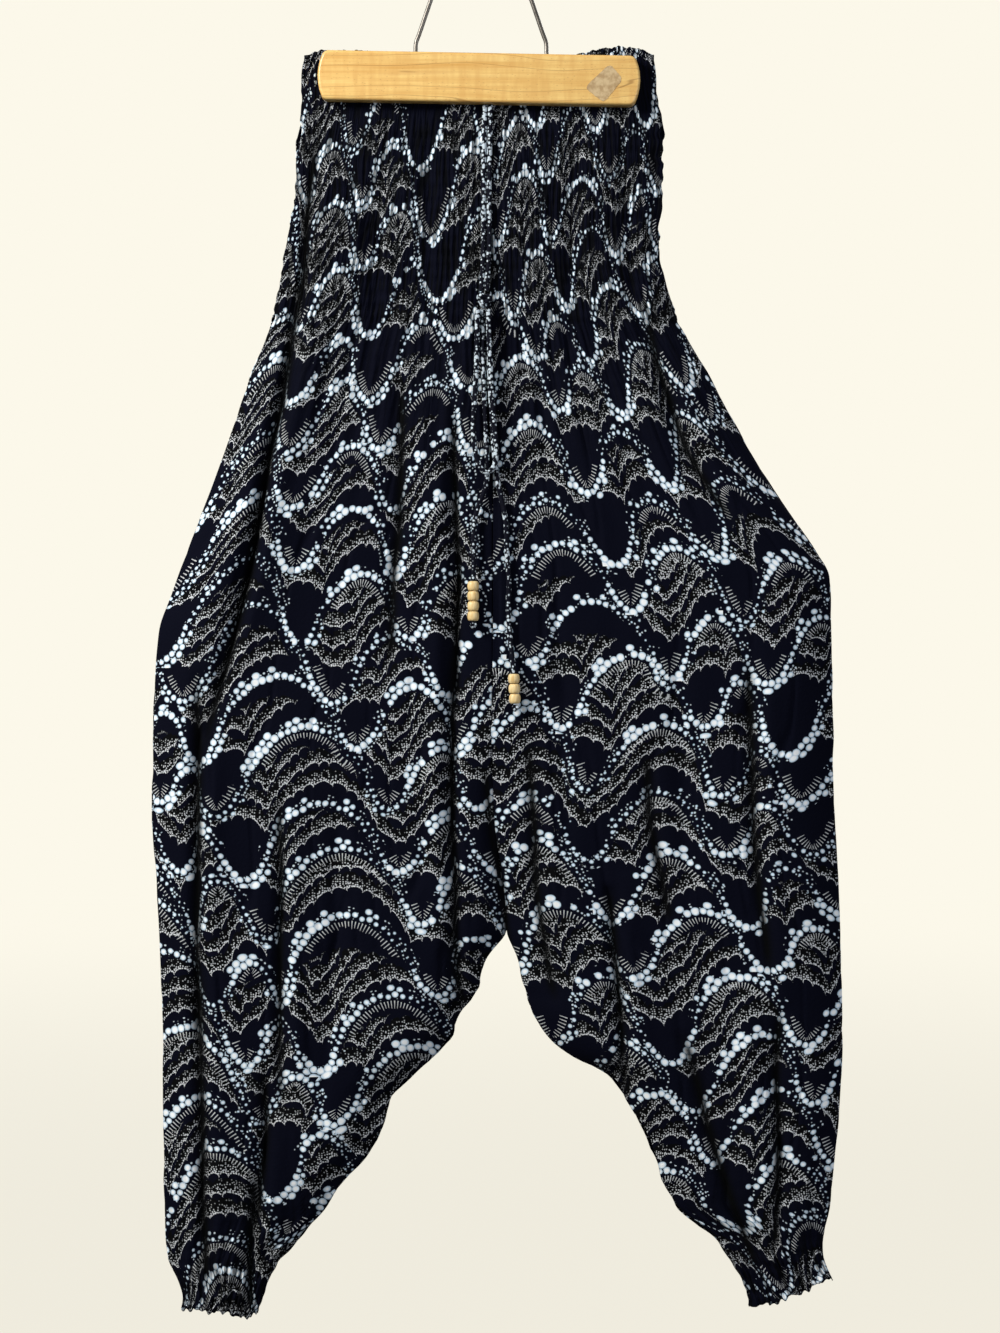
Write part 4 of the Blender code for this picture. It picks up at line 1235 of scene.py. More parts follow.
# %% Turned collar
COLLAR_PROFILE = ((0.0, 0.0), (3.9, 0.0), (4.6, 0.8), (4.6, 3.2), (4.1, 3.7), (4.1, 4.6),
                  (4.6, 5.1), (4.6, 12.4), (4.2, 13.4), (3.4, 14.0), (0.0, 14.0))
shape = bmesh.new()
verts = [shape.verts.new((radius, 0.0, height)) for radius, height in COLLAR_PROFILE]
edges = [shape.edges.new(pair) for pair in zip(verts, verts[1:])]
bmesh.ops.spin(shape, geom=verts + edges, cent=(0, 0, 0), axis=(0, 0, 1), dvec=(0, 0, 0),
               angle=math.tau, steps=40, use_merge=True, use_duplicate=False)
bmesh.ops.remove_doubles(shape, verts=shape.verts, dist=0.001)
bmesh.ops.recalc_face_normals(shape, faces=shape.faces)
bmesh.ops.translate(shape, vec=(0.0, 0.0, at_drop(BAIL_NECK_DROP)), verts=shape.verts)
collar = add_mesh("turned_collar", shape)
collar.data.set_sharp_from_angle(angle=SHARP_EDGE)
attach(collar, "root")
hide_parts("neck_ferrule")
wires.append(collar)
print("collar:", len(collar.data.polygons), "faces")

# %% [markdown]
# A scrap of old paper is still stuck on the bar where a sticker was torn off. It is blank. Four
# torn sides are cut into short uneven steps, because torn paper never has a straight edge.

# %% Paper scrap
SCRAP_CENTRE = (92.4, 27.6)     # x and drop
SCRAP_CORNERS = ((4.4, 14.6), (14.4, 3.2), (-0.4, -14.8), (-14.6, -3.2))
SCRAP_STEPS = 11
SCRAP_WORN = {0: 0.1, 1: 0.025, SCRAP_STEPS - 1: 0.025}     # a corner, and the points beside it
SCRAP_THICKNESS = 0.25
SCRAP_OFF = 0.02                # between the paper's back and the bar
chance = random.Random(7)
ring = []
for corner, after in zip(SCRAP_CORNERS, SCRAP_CORNERS[1:] + SCRAP_CORNERS[:1]):
    corner, after = Vector(corner), Vector(after)
    for step in range(SCRAP_STEPS):
        share = step / SCRAP_STEPS
        place = corner.lerp(after, share)
        place *= 1.0 - SCRAP_WORN.get(step, 0.0)
        ring.append(place * (1.0 + chance.uniform(-0.02, 0.02)))
bar_face = -(GAP * 0.5 + CLOTH_WALL + GAP + JAW_THICKNESS)
shape = bmesh.new()
flat = shape.faces.new([shape.verts.new((x, SCRAP_OFF, z)) for x, z in ring])
pushed = bmesh.ops.extrude_face_region(shape, geom=[flat])["geom"]
bmesh.ops.translate(shape, vec=(0.0, -SCRAP_THICKNESS, 0.0),
                    verts=[item for item in pushed if isinstance(item, bmesh.types.BMVert)])
bmesh.ops.recalc_face_normals(shape, faces=shape.faces)
bmesh.ops.translate(shape, vec=(SCRAP_CENTRE[0], bar_face, at_drop(SCRAP_CENTRE[1])),
                    verts=shape.verts)
paper_scrap = add_mesh("torn_paper_scrap", shape, smooth=False)
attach(paper_scrap, "root")
print("scrap:", len(ring), "points round its edge")

# %% [markdown]
# ## Printed viscose
# Viscose is a light woven cloth with a dry hand: almost matt, with a faint soft sheen at a glancing
# angle. It is printed white and ice blue on navy black. The shader reads the distances stored on
# the cloth and draws, from the top layer down: pearls on the strings, fine dots beside them, short
# ticks on the inner side of each bend, and hills with scalloped edges whose bright stipple fades
# outwards to the next hill.

# %% Print: measures from the cloth
PEARL_PITCH = 5.4               # mm from pearl to pearl along a string
DOT_PITCH = 2.6
TICK_PITCH = 2.9
STIPPLE_PITCH = 1.7
BEAD_PITCH = 1.8                # of the fine dots that edge each hill
SCALLOP_PITCH = 10.5
SCALLOP_RISE = 4.0
HILL_BAND = 15.0                # from one stippled edge to the next behind it
LOBE_WANDER = 19.0              # size of the noise that keeps the scallops uneven

viscose, viscose_shader = start_material("printed_viscose_crepe")
measured = {}
for name in ("pearl_string", "string_turn", "hill_rise"):
    stored = add(viscose, "Attribute", attribute_name=name)
    measured[name] = add(viscose, "SeparateXYZ", {0: stored.outputs["Vector"]}).outputs
along, offset, away = measured["pearl_string"]
turn, swell, torn = measured["string_turn"]
hill_height, brow_along, past_heart = measured["hill_rise"]
flat_map = add(viscose, "UVMap", uv_map="flat_cloth")

# %% Print: outer side, and where a string really is
# Positive "outside" is the outer side of a bend, where pearls crowd; negative is the hollow of it.
turn_way = add(viscose, "Math", {0: turn}, operation="SIGN")
bend = add(viscose, "Math", {0: turn}, operation="ABSOLUTE")
bent = add(viscose, "Math", {0: bend, 1: 0.16}, operation="GREATER_THAN")
outside = add(viscose, "Math", {0: offset, 1: turn_way}, operation="MULTIPLY")
near = add(viscose, "Math", {0: offset}, operation="ABSOLUTE")
whole = add(viscose, "Math", {0: torn, 1: 0.5}, operation="LESS_THAN")

# %% Print: pearls
# Round discs stand on the string in one touching row, and some have a second disc on their outer
# side. Each is as large as its place on the string asks.
pearl_inks, pearl_hearts = [], []
for row_shift, row_offset, row_chance, row_size, across_string, row_place in (
        (0.0, 0.0, 0.97, 1.0, offset, whole), (0.5, 4.9, 0.45, 0.9, outside, bent)):
    pearl_x = add(viscose, "Math", {0: along, 1: 1.0 / PEARL_PITCH, 2: row_shift},
                  operation="MULTIPLY_ADD")
    pearl_number = add(viscose, "Math", {0: pearl_x}, operation="FLOOR")
    pearl_share = add(viscose, "Math", {0: pearl_x}, operation="FRACT")
    pearl_chance = add(viscose, "TexWhiteNoise", {"W": pearl_number}, noise_dimensions="1D")
    chance_xyz = add(viscose, "SeparateXYZ", {0: pearl_chance.outputs["Color"]})
    chance_x, chance_y, chance_z = chance_xyz.outputs
    from_x = add(viscose, "Math", {0: chance_x, 1: 0.12, 2: 0.44}, operation="MULTIPLY_ADD")
    from_x = add(viscose, "Math", {0: pearl_share, 1: from_x}, operation="SUBTRACT")
    from_x = add(viscose, "Math", {0: from_x, 1: PEARL_PITCH}, operation="MULTIPLY")
    sideways = add(viscose, "Math", {0: chance_y, 1: 2.2, 2: row_offset - 1.1},
                   operation="MULTIPLY_ADD")
    from_y = add(viscose, "Math", {0: across_string, 1: sideways}, operation="SUBTRACT")
    pearl_from = add(viscose, "CombineXYZ", {"X": from_x, "Y": from_y})
    pearl_from = add(viscose, "VectorMath", {0: pearl_from}, operation="LENGTH")
    pearl_size = add(viscose, "Math", {0: chance_z, 1: 0.3, 2: 0.78}, operation="MULTIPLY_ADD")
    pearl_radius = add(viscose, "Math", {0: swell, 1: 2.15 * row_size, 2: 0.75},
                       operation="MULTIPLY_ADD")
    pearl_radius = add(viscose, "Math", {0: pearl_radius, 1: pearl_size}, operation="MULTIPLY")
    pearl_there = add(viscose, "Math", {0: pearl_chance.outputs["Value"], 1: row_chance},
                      operation="LESS_THAN")
    pearl_there = add(viscose, "Math", {0: pearl_there, 1: row_place}, operation="MULTIPLY")
    pearl_edge = add(viscose, "Math", {0: pearl_radius, 1: pearl_from.outputs["Value"]},
                     operation="SUBTRACT")
    ink = add(viscose, "MapRange", {"Value": pearl_edge, "From Min": -0.15, "From Max": 0.35})
    pearl_inks.append(add(viscose, "Math", {0: ink, 1: pearl_there}, operation="MULTIPLY"))
    ink_heart = add(viscose, "MapRange", {"Value": pearl_edge, "From Min": 0.3, "From Max": 1.5})
    pearl_hearts.append(add(viscose, "Math", {0: ink_heart, 1: pearl_there},
                            operation="MULTIPLY"))
pearl_ink = add(viscose, "Math", {0: pearl_inks[0], 1: pearl_inks[1]}, operation="MAXIMUM")
pearl_heart = add(viscose, "Math", {0: pearl_hearts[0], 1: pearl_hearts[1]}, operation="MAXIMUM")

# %% Print: fine dots beside the pearls
dot_x = add(viscose, "Math", {0: along, 1: DOT_PITCH}, operation="DIVIDE")
dot_y = add(viscose, "Math", {0: offset, 1: DOT_PITCH}, operation="DIVIDE")
dot_place = add(viscose, "CombineXYZ", {"X": dot_x, "Y": dot_y})
dot_cells = add(viscose, "TexVoronoi", {"Vector": dot_place, "Scale": 1.0, "Randomness": 0.75},
                voronoi_dimensions="2D")
dot_chance = add(viscose, "SeparateXYZ", {0: dot_cells.outputs["Color"]})
dot_band_out = add(viscose, "MapRange", {"Value": outside, "From Min": 9.5, "From Max": 3.5})
dot_band_in = add(viscose, "MapRange", {"Value": outside, "From Min": -3.2, "From Max": -2.2})
dot_band_near = add(viscose, "MapRange", {"Value": near, "From Min": 8.5, "From Max": 5.0})
dot_share = dot_band_out
for limit in (dot_band_in, dot_band_near, 0.42):
    dot_share = add(viscose, "Math", {0: dot_share, 1: limit}, operation="MULTIPLY")
dot_there = add(viscose, "Math", {0: dot_chance.outputs["X"], 1: dot_share}, operation="LESS_THAN")
dot_radius = add(viscose, "Math", {0: dot_chance.outputs["Y"], 1: 0.17, 2: 0.15},
                 operation="MULTIPLY_ADD")
dot_edge = add(viscose, "Math", {0: dot_radius, 1: dot_cells.outputs["Distance"]},
               operation="SUBTRACT")
dot_ink = add(viscose, "MapRange", {"Value": dot_edge, "From Min": -0.06, "From Max": 0.1})
for limit in (dot_there, whole, 0.9):
    dot_ink = add(viscose, "Math", {0: dot_ink, 1: limit}, operation="MULTIPLY")

# %% Print: ticks in the hollow of each bend
# Each tick is boldest at its pearl end and thins out into the hollow.
tick_x = add(viscose, "Math", {0: along, 1: TICK_PITCH}, operation="DIVIDE")
tick_number = add(viscose, "Math", {0: tick_x}, operation="FLOOR")
tick_wave = add(viscose, "Math", {0: tick_x}, operation="FRACT")
tick_wave = add(viscose, "Math", {0: tick_wave, 1: 0.5}, operation="SUBTRACT")
tick_wave = add(viscose, "Math", {0: tick_wave}, operation="ABSOLUTE")
tick_chance = add(viscose, "TexWhiteNoise", {"W": tick_number}, noise_dimensions="1D")
tick_end = add(viscose, "Math", {0: tick_chance.outputs["Value"], 1: 2.6, 2: -10.0},
               operation="MULTIPLY_ADD")
tick_from = add(viscose, "Math", {0: tick_chance.outputs["Value"], 1: -1.0, 2: -3.6},
                operation="MULTIPLY_ADD")
tick_width = add(viscose, "MapRange", {"Value": outside, "From Min": -10.0, "From Max": -4.0,
                                       "To Min": 0.07, "To Max": 0.17})
tick_line = add(viscose, "Math", {0: tick_width, 1: tick_wave}, operation="SUBTRACT")
tick_line = add(viscose, "MapRange", {"Value": tick_line, "From Min": -0.04, "From Max": 0.06})
tick_low = add(viscose, "Math", {0: outside, 1: tick_end}, operation="GREATER_THAN")
tick_high = add(viscose, "Math", {0: outside, 1: tick_from}, operation="LESS_THAN")
tick_bend = add(viscose, "Math", {0: bend, 1: 0.43}, operation="GREATER_THAN")
tick_ink = tick_line
for limit in (tick_low, tick_high, tick_bend, whole, 0.8):
    tick_ink = add(viscose, "Math", {0: tick_ink, 1: limit}, operation="MULTIPLY")

# %% Print: hills with scalloped edges
# Hills stand one behind another over each string. Each is a copy of the string's outline, moved
# straight up, so on the steep flanks the copies crowd into bright streams.
hill = add(viscose, "Math", {0: hill_height, 1: FIRST_EDGE}, operation="SUBTRACT")
hill = add(viscose, "Math", {0: hill, 1: HILL_BAND}, operation="DIVIDE")
hill_number = add(viscose, "Math", {0: hill}, operation="FLOOR")
hill_share = add(viscose, "Math", {0: hill}, operation="FRACT")
lobe_noise = add(viscose, "TexNoise", {"Vector": flat_map, "Scale": 1000 / LOBE_WANDER,
                                       "Detail": 0.0}, noise_dimensions="2D")
lobe_at = add(viscose, "Math", {0: brow_along, 1: 1.0 / SCALLOP_PITCH}, operation="MULTIPLY")
lobe_at = add(viscose, "Math", {0: hill_number, 1: 0.43, 2: lobe_at}, operation="MULTIPLY_ADD")
lobe_at = add(viscose, "Math", {0: lobe_noise.outputs["Fac"], 1: 1.3, 2: lobe_at},
              operation="MULTIPLY_ADD")
lobe_at = add(viscose, "Math", {0: lobe_at}, operation="FRACT")
lobe = add(viscose, "Math", {0: lobe_at, 1: 2.0, 2: -1.0}, operation="MULTIPLY_ADD")
lobe = add(viscose, "Math", {0: lobe, 1: lobe}, operation="MULTIPLY")
lobe = add(viscose, "Math", {0: 1.0, 1: lobe}, operation="SUBTRACT")
lobe = add(viscose, "Math", {0: lobe, 1: 0.5}, operation="POWER")
lobe_share = add(viscose, "Math", {0: lobe, 1: SCALLOP_RISE / HILL_BAND}, operation="MULTIPLY")
past_lobe = add(viscose, "Math", {0: hill_share, 1: lobe_share}, operation="SUBTRACT")
on_hill = add(viscose, "Math", {0: past_lobe, 1: 0.0}, operation="GREATER_THAN")
any_hill = add(viscose, "Math", {0: hill, 1: 0.0}, operation="GREATER_THAN")
fade_reach = add(viscose, "Math", {0: lobe_noise.outputs["Fac"], 1: 0.6, 2: 0.45},
                 operation="MULTIPLY_ADD")
fade = add(viscose, "Math", {0: past_lobe, 1: fade_reach}, operation="DIVIDE")
fade = add(viscose, "MapRange", {"Value": fade, "From Min": 1.0, "From Max": 0.0})
fade = add(viscose, "Math", {0: fade, 1: 1.15}, operation="POWER")
fade = add(viscose, "Math", {0: fade, 1: on_hill}, operation="MULTIPLY")
density = add(viscose, "Math", {0: fade, 1: any_hill}, operation="MULTIPLY")

# %% Print: plain hearts under each bend
heart_edge = add(viscose, "Math", {0: lobe, 1: 2.5, 2: past_heart}, operation="MULTIPLY_ADD")
heart = add(viscose, "MapRange", {"Value": heart_edge, "From Min": 0.0, "From Max": 5.0})
clear_of_string = add(viscose, "MapRange", {"Value": away, "From Min": 3.4, "From Max": 5.4})
for limit in (heart, clear_of_string):
    density = add(viscose, "Math", {0: density, 1: limit}, operation="MULTIPLY")

# %% Print: stipple
stipple_cells = add(viscose, "TexVoronoi", {"Vector": flat_map, "Scale": 1000.0 / STIPPLE_PITCH,
                                            "Randomness": 0.75}, voronoi_dimensions="2D")
stipple_chance = add(viscose, "SeparateXYZ", {0: stipple_cells.outputs["Color"]})
stipple_need = add(viscose, "Math", {0: density, 1: 0.66, 2: 0.32}, operation="MULTIPLY_ADD")
stipple_any = add(viscose, "Math", {0: density, 1: 0.015}, operation="GREATER_THAN")
stipple_there = add(viscose, "Math", {0: stipple_chance.outputs["X"], 1: stipple_need},
                    operation="LESS_THAN")
stipple_radius = add(viscose, "Math", {0: density, 1: 0.16, 2: 0.2}, operation="MULTIPLY_ADD")
stipple_edge = add(viscose, "Math", {0: stipple_radius, 1: stipple_cells.outputs["Distance"]},
                   operation="SUBTRACT")
stipple_ink = add(viscose, "MapRange", {"Value": stipple_edge, "From Min": -0.08, "From Max": 0.1})
stipple_tone = add(viscose, "Math", {0: density, 1: 0.5, 2: 0.42}, operation="MULTIPLY_ADD")
for limit in (stipple_there, stipple_any, stipple_tone):
    stipple_ink = add(viscose, "Math", {0: stipple_ink, 1: limit}, operation="MULTIPLY")

# %% Print: a beaded line along each scalloped edge
bead_at = add(viscose, "Math", {0: brow_along, 1: 1.0 / BEAD_PITCH}, operation="MULTIPLY")
bead_at = add(viscose, "Math", {0: bead_at}, operation="FRACT")
bead_x = add(viscose, "Math", {0: bead_at, 1: BEAD_PITCH, 2: -0.5 * BEAD_PITCH},
             operation="MULTIPLY_ADD")
bead_y = add(viscose, "Math", {0: past_lobe, 1: HILL_BAND, 2: -0.6}, operation="MULTIPLY_ADD")
bead_from = add(viscose, "CombineXYZ", {"X": bead_x, "Y": bead_y})
bead_from = add(viscose, "VectorMath", {0: bead_from}, operation="LENGTH")
bead_ink = add(viscose, "MapRange", {"Value": bead_from.outputs["Value"], "From Min": 0.7,
                                     "From Max": 0.4})
for limit in (density, 0.85):
    bead_ink = add(viscose, "Math", {0: bead_ink, 1: limit}, operation="MULTIPLY")
stipple_ink = add(viscose, "Math", {0: stipple_ink, 1: bead_ink}, operation="MAXIMUM")

# %% Print: colours
inked = add(viscose, "Mix", {0: stipple_any, 6: linear("#080A17"), 7: linear("#08090B")},
            data_type="RGBA")
for share, ink_colour in ((stipple_ink, "#D9E0E8"), (tick_ink, "#CDD3D8"), (dot_ink, "#CBDBE8")):
    inked = add(viscose, "Mix", {0: share, 6: inked.outputs[2], 7: linear(ink_colour)},
                data_type="RGBA")
pearl = add(viscose, "Mix", {0: pearl_heart, 6: linear("#B4CEE4"), 7: linear("#F1F7FC")},
            data_type="RGBA")
inked = add(viscose, "Mix", {0: pearl_ink, 6: inked.outputs[2], 7: pearl.outputs[2]},
            data_type="RGBA")

# %% Print: painted shade in creases and between pleats
# Cloth turned into a crease or between two pleats is in shadow, and that shade is painted here: near
# black laid over the print. The pleats are two millimetres apart on the worn cloth, and four on the cut
# cloth before gathering.
PLEAT_PITCH = 4.4
PLEAT_LENGTH = 30.0
crease = add(viscose, "Attribute", attribute_name="crease")
pleat_map = add(viscose, "Mapping", {"Vector": flat_map,
                                     "Scale": (1000 / PLEAT_PITCH, 1000 / PLEAT_LENGTH, 1.0)})
pleats = add(viscose, "TexNoise", {"Vector": pleat_map, "Scale": 1.0, "Detail": 1.0},
             noise_dimensions="2D")
shirred = add(viscose, "Attribute", attribute_name="shirring")
pleat_valley_shade = add(viscose, "MapRange", {"Value": pleats.outputs["Fac"], "From Min": 0.52,
                                    "From Max": 0.4})
for limit in (shirred.outputs["Fac"], 0.75):
    pleat_valley_shade = add(viscose, "Math", {0: pleat_valley_shade, 1: limit}, operation="MULTIPLY")
painted_fold_shade = add(viscose, "Math", {0: pleat_valley_shade, 1: crease.outputs["Fac"]}, operation="MAXIMUM")
# Painted shade colour, near black, over the print in creases and between pleats.
inked = add(viscose, "Mix", {0: painted_fold_shade, 6: inked.outputs[2], 7: linear("#060708")},
            data_type="RGBA")
viscose.node_tree.links.new(inked.outputs[2], viscose_shader.inputs["Base Color"])

# %% Cloth relief: fine pleats under the elastic, and a crepe grain
CREPE_GRAIN = 2.2               # coarser than the real threads, which are too fine to show
flat_xyz = add(viscose, "SeparateXYZ", {0: flat_map})
elastic_wave = add(viscose, "Math", {0: flat_xyz.outputs["Y"], 1: math.tau * 1000 / ELASTIC_PITCH},
                   operation="MULTIPLY")
elastic_wave = add(viscose, "Math", {0: elastic_wave}, operation="COSINE")
pleat_height = add(viscose, "Math", {0: elastic_wave, 1: -0.12, 2: pleats.outputs["Fac"]},
                   operation="MULTIPLY_ADD")
pleat_height = add(viscose, "Math", {0: pleat_height, 1: shirred.outputs["Fac"]},
                   operation="MULTIPLY")
crepe = add(viscose, "TexNoise", {"Vector": flat_map, "Scale": 1000 / CREPE_GRAIN, "Detail": 1.0},
            noise_dimensions="2D")
relief = add(viscose, "Math", {0: crepe.outputs["Fac"], 1: 0.1, 2: pleat_height},
             operation="MULTIPLY_ADD")
relief_bump = add(viscose, "Bump", {"Height": relief, "Strength": 1.0, "Distance": 0.0022})
viscose.node_tree.links.new(relief_bump.outputs[0], viscose_shader.inputs["Normal"])
viscose_shader.inputs["Roughness"].default_value = 0.82
viscose_shader.inputs["Specular IOR Level"].default_value = 0.03
viscose_shader.inputs["Sheen Weight"].default_value = 0.01
viscose_shader.inputs["Sheen Roughness"].default_value = 0.4
for shell in cloth:
    shell.data.materials.append(viscose)
print("print nodes:", len(viscose.node_tree.nodes))

# %% [markdown]
# ## Drawstring cloth
# The cord is a bias tube of the same cloth, a few millimetres wide, so only broken bits of the
# print show on it: dots and short dashes. It twists a little, which the bump shows as slanted
# wrinkles.

# %% Drawstring material
CORD_DOT_PITCH = 2.6
CORD_PATCH = 16.0               # from one printed patch to the next
WRINKLE_SIZE = (5.0, 5.0, 1.6)
cord_cloth, cord_shader = start_material("printed_viscose_cord")
cord_place = add(cord_cloth, "TexCoord")
cord_dots = add(cord_cloth, "TexVoronoi", {"Vector": cord_place.outputs["Object"],
                                           "Scale": 1000 / CORD_DOT_PITCH, "Randomness": 0.9})
cord_chance = add(cord_cloth, "SeparateXYZ", {0: cord_dots.outputs["Color"]})
cord_patch = add(cord_cloth, "TexNoise", {"Vector": cord_place.outputs["Object"],
                                          "Scale": 1000 / CORD_PATCH, "Detail": 1.0})
cord_radius = add(cord_cloth, "MapRange", {"Value": cord_patch.outputs["Fac"], "From Min": 0.4,
                                           "From Max": 0.62, "To Min": 0.2, "To Max": 0.5})
cord_radius = add(cord_cloth, "Math", {0: cord_chance.outputs["X"], 1: 0.1, 2: cord_radius},
                  operation="MULTIPLY_ADD")
cord_edge = add(cord_cloth, "Math", {0: cord_radius, 1: cord_dots.outputs["Distance"]},
                operation="SUBTRACT")
cord_ink = add(cord_cloth, "MapRange", {"Value": cord_edge, "From Min": -0.04, "From Max": 0.08})
cord_colour = add(cord_cloth, "Mix", {0: cord_ink, 6: linear("#0C0E1A"), 7: linear("#C3D2DE")},
                  data_type="RGBA")
cord_cloth.node_tree.links.new(cord_colour.outputs[2], cord_shader.inputs["Base Color"])
wrinkle_map = add(cord_cloth, "Mapping", {"Vector": cord_place.outputs["Object"],
                                          "Rotation": (0.0, math.radians(34), 0.0),
                                          "Scale": per_metre(*WRINKLE_SIZE)})
wrinkles = add(cord_cloth, "TexNoise", {"Vector": wrinkle_map, "Scale": 1.0, "Detail": 1.0})
wrinkle_bump = add(cord_cloth, "Bump", {"Height": wrinkles.outputs["Fac"], "Strength": 0.8,
                                        "Distance": 0.0009})
cord_cloth.node_tree.links.new(wrinkle_bump.outputs[0], cord_shader.inputs["Normal"])
cord_shader.inputs["Roughness"].default_value = 0.8
cord_shader.inputs["Specular IOR Level"].default_value = 0.08
for cord, _ in cords.values():
    cord.data.materials.append(cord_cloth)
for knot in (tie_knot, *stop_knots.values()):
    knot.data.materials.clear()
    knot.data.materials.append(cord_cloth)
print("cord nodes:", len(cord_cloth.node_tree.nodes))

# %% [markdown]
# ## Maple
# The bar is sawn maple under clear varnish: honey coloured, with long fine grain, a few darker
# streaks, brown growth lines, faint ripples across and tiny flecks. Long thin noise gives the grain
# and the streaks, because a board's fibres run its whole length. The growth lines come from the
# height on the board, bent by a slow noise, because a saw cuts them out of even layers.

# %% Maple material
GRAIN_SIZE = (120.0, 5.0, 3.4)
STREAK_SIZE = (210.0, 14.0, 9.0)
MAPLE_TONES = ((0.3, "#DDAC5D"), (0.64, "#F4D083"))
maple, maple_shader = start_material("varnished_maple")
wood_place = add(maple, "TexCoord")
grain_map = add(maple, "Mapping", {"Vector": wood_place.outputs["Object"],
                                   "Rotation": (0.0, -JAW_TILT, 0.0),
                                   "Scale": per_metre(*GRAIN_SIZE)})
grain = add(maple, "TexNoise", {"Vector": grain_map, "Scale": 1.0, "Detail": 4.0,
                                "Roughness": 0.62, "Distortion": 0.35})
streak_map = add(maple, "Mapping", {"Vector": wood_place.outputs["Object"],
                                    "Rotation": (0.0, -JAW_TILT, 0.0),
                                    "Scale": per_metre(*STREAK_SIZE)})
streaks = add(maple, "TexNoise", {"Vector": streak_map, "Scale": 1.0, "Detail": 2.0})
maple_base = add(maple, "ValToRGB", {0: grain.outputs["Fac"]})
for stop, (position, tone) in zip(maple_base.color_ramp.elements, MAPLE_TONES):
    stop.position = position
    stop.color = linear(tone)
streak_share = add(maple, "MapRange", {"Value": streaks.outputs["Fac"], "From Min": 0.56,
                                       "From Max": 0.72, "To Min": 0.0, "To Max": 0.45})
maple_colour = add(maple, "Mix", {0: streak_share, 6: maple_base.outputs["Color"],
                                  7: linear("#BD8645")}, data_type="RGBA")

# %% Maple: growth lines
# Thin and brown, a year apart, they bow and crowd as the trunk did.
YEAR_RING = 11.0
BOW_SIZE = (130.0, 40.0, 16.0)
year_map = add(maple, "Mapping", {"Vector": wood_place.outputs["Object"],
                                  "Rotation": (0.0, -JAW_TILT * 1.5, 0.0),
                                  "Scale": per_metre(*BOW_SIZE)})
year_bow = add(maple, "TexNoise", {"Vector": year_map, "Scale": 1.0, "Detail": 1.5,
                                   "Roughness": 0.35})
wood_xyz = add(maple, "SeparateXYZ", {0: wood_place.outputs["Object"]})
year = add(maple, "Math", {0: wood_xyz.outputs["Z"], 1: 1000 / YEAR_RING}, operation="MULTIPLY")
year = add(maple, "Math", {0: year_bow.outputs["Fac"], 1: 2.6, 2: year}, operation="MULTIPLY_ADD")
year = add(maple, "Math", {0: year}, operation="FRACT")
year = add(maple, "Math", {0: year, 1: 0.5}, operation="SUBTRACT")
year = add(maple, "Math", {0: year}, operation="ABSOLUTE")
growth = add(maple, "MapRange", {"Value": year, "From Min": 0.032, "From Max": 0.008,
                                 "To Min": 0.0, "To Max": 0.62})
maple_colour = add(maple, "Mix", {0: growth, 6: maple_colour.outputs[2], 7: linear("#8E6230")},
                   data_type="RGBA")

# %% Maple: ripples across the grain, flecks and varnish
FIGURE_SIZE = (5.0, 20.0, 26.0)
FLECK_SIZE = (4.2, 3.0, 1.4)
figure_map = add(maple, "Mapping", {"Vector": wood_place.outputs["Object"],
                                    "Scale": per_metre(*FIGURE_SIZE)})
figure = add(maple, "TexNoise", {"Vector": figure_map, "Scale": 1.0, "Detail": 2.0})
figure = add(maple, "MapRange", {"Value": figure.outputs["Fac"], "From Min": 0.35,
                                 "From Max": 0.65, "To Min": 0.0, "To Max": 0.4})
maple_colour = add(maple, "Mix", {0: figure, 6: maple_colour.outputs[2], 7: linear("#D59F55")},
                   data_type="RGBA")
fleck_map = add(maple, "Mapping", {"Vector": wood_place.outputs["Object"],
                                   "Scale": per_metre(*FLECK_SIZE)})
flecks = add(maple, "TexVoronoi", {"Vector": fleck_map, "Scale": 1.0, "Randomness": 1.0})
fleck_share = add(maple, "MapRange", {"Value": flecks.outputs["Distance"], "From Min": 0.2,
                                      "From Max": 0.08, "To Min": 0.0, "To Max": 0.5})
maple_colour = add(maple, "Mix", {0: fleck_share, 6: maple_colour.outputs[2],
                                  7: linear("#A9713A")}, data_type="RGBA")
maple.node_tree.links.new(maple_colour.outputs[2], maple_shader.inputs["Base Color"])
grain_bump = add(maple, "Bump", {"Height": grain.outputs["Fac"], "Strength": 0.12,
                                 "Distance": 0.0006})
maple.node_tree.links.new(grain_bump.outputs[0], maple_shader.inputs["Normal"])
maple_shader.inputs["Roughness"].default_value = 0.42
maple_shader.inputs["Coat Weight"].default_value = 0.25
maple_shader.inputs["Coat Roughness"].default_value = 0.2
for jaw in jaws:
    jaw.data.materials.append(maple)
print("maple nodes:", len(maple.node_tree.nodes))

# %% [markdown]
# ## Bead wood, wire and paper
# The beads are pale schima or maple, sanded and waxed, so they are smooth with a soft highlight.
# The wire is plated steel: a mirror that has dulled a little. The scrap is the paper's torn inner
# layer, fibrous and matt.

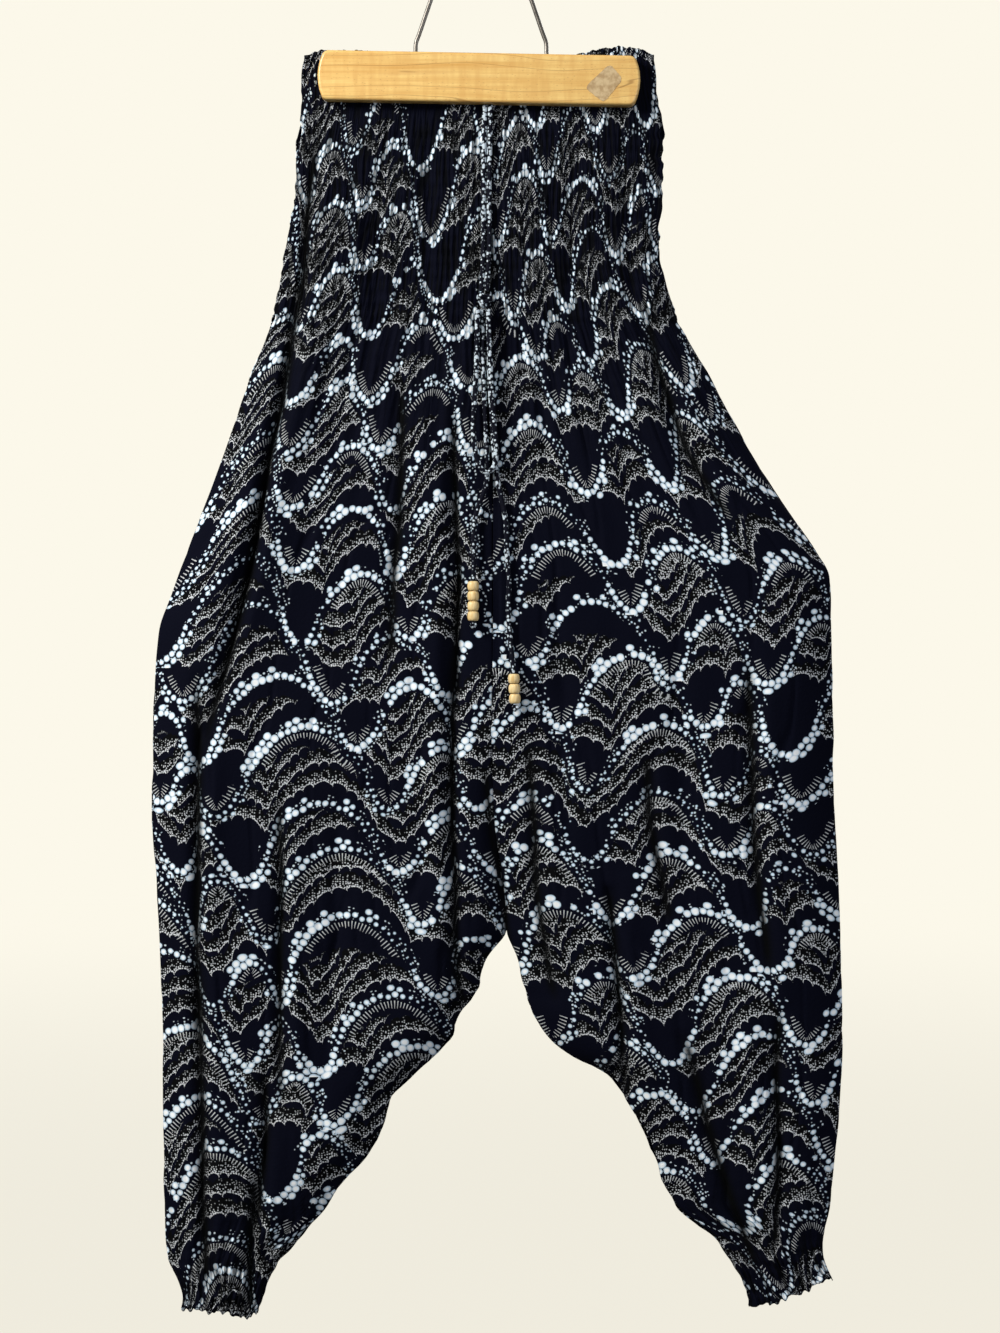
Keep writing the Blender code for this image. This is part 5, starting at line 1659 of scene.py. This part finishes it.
# %% Bead wood
BEAD_GRAIN_SIZE = (1.6, 1.6, 9.0)
BEAD_TONES = ((0.35, "#D9B778"), (0.65, "#F0DBA6"))
bead_wood, bead_shader = start_material("waxed_pale_wood")
bead_place = add(bead_wood, "TexCoord")
bead_map = add(bead_wood, "Mapping", {"Vector": bead_place.outputs["Object"],
                                      "Scale": per_metre(*BEAD_GRAIN_SIZE)})
bead_grain = add(bead_wood, "TexNoise", {"Vector": bead_map, "Scale": 1.0, "Detail": 3.0})
bead_ramp = add(bead_wood, "ValToRGB", {0: bead_grain.outputs["Fac"]})
for stop, (position, tone) in zip(bead_ramp.color_ramp.elements, BEAD_TONES):
    stop.position = position
    stop.color = linear(tone)
bead_wood.node_tree.links.new(bead_ramp.outputs["Color"], bead_shader.inputs["Base Color"])
bead_shader.inputs["Roughness"].default_value = 0.45
for row in beads.values():
    for bead in row:
        bead.data.materials.append(bead_wood)
print("bead wood nodes:", len(bead_wood.node_tree.nodes))

# %% Plated wire
SMEAR_SIZE = 7.0                # of the duller patches
plated, plated_shader = start_material("dulled_nickel_plate")
wire_place = add(plated, "TexCoord")
wire_smear = add(plated, "TexNoise", {"Vector": wire_place.outputs["Object"],
                                      "Scale": 1000 / SMEAR_SIZE, "Detail": 2.0})
wire_rough = add(plated, "MapRange", {"Value": wire_smear.outputs["Fac"], "From Min": 0.3,
                                      "From Max": 0.7, "To Min": 0.34, "To Max": 0.5})
plated.node_tree.links.new(wire_rough.outputs[0], plated_shader.inputs["Roughness"])
plated_shader.inputs["Base Color"].default_value = linear("#75726D")
plated_shader.inputs["Metallic"].default_value = 1.0
for wire in wires:
    wire.data.materials.append(plated)
print("wire pieces:", len(wires))

# %% Torn paper
FIBRE_SIZE = 3.5                # clumps of fibre, which show where single fibres wouldn't
PAPER_TONES = ((0.38, "#AE936B"), (0.6, "#CBB48C"))
paper, paper_shader = start_material("torn_paper_backing")
paper_place = add(paper, "TexCoord")
paper_fibre = add(paper, "TexNoise", {"Vector": paper_place.outputs["Object"],
                                      "Scale": 1000 / FIBRE_SIZE, "Detail": 4.0})
paper_ramp = add(paper, "ValToRGB", {0: paper_fibre.outputs["Fac"]})
for stop, (position, tone) in zip(paper_ramp.color_ramp.elements, PAPER_TONES):
    stop.position = position
    stop.color = linear(tone)
paper.node_tree.links.new(paper_ramp.outputs["Color"], paper_shader.inputs["Base Color"])
paper_bump = add(paper, "Bump", {"Height": paper_fibre.outputs["Fac"], "Strength": 0.4,
                                 "Distance": 0.0004})
paper.node_tree.links.new(paper_bump.outputs[0], paper_shader.inputs["Normal"])
paper_shader.inputs["Roughness"].default_value = 0.85
paper_scrap.data.materials.append(paper)
print("paper nodes:", len(paper.node_tree.nodes))
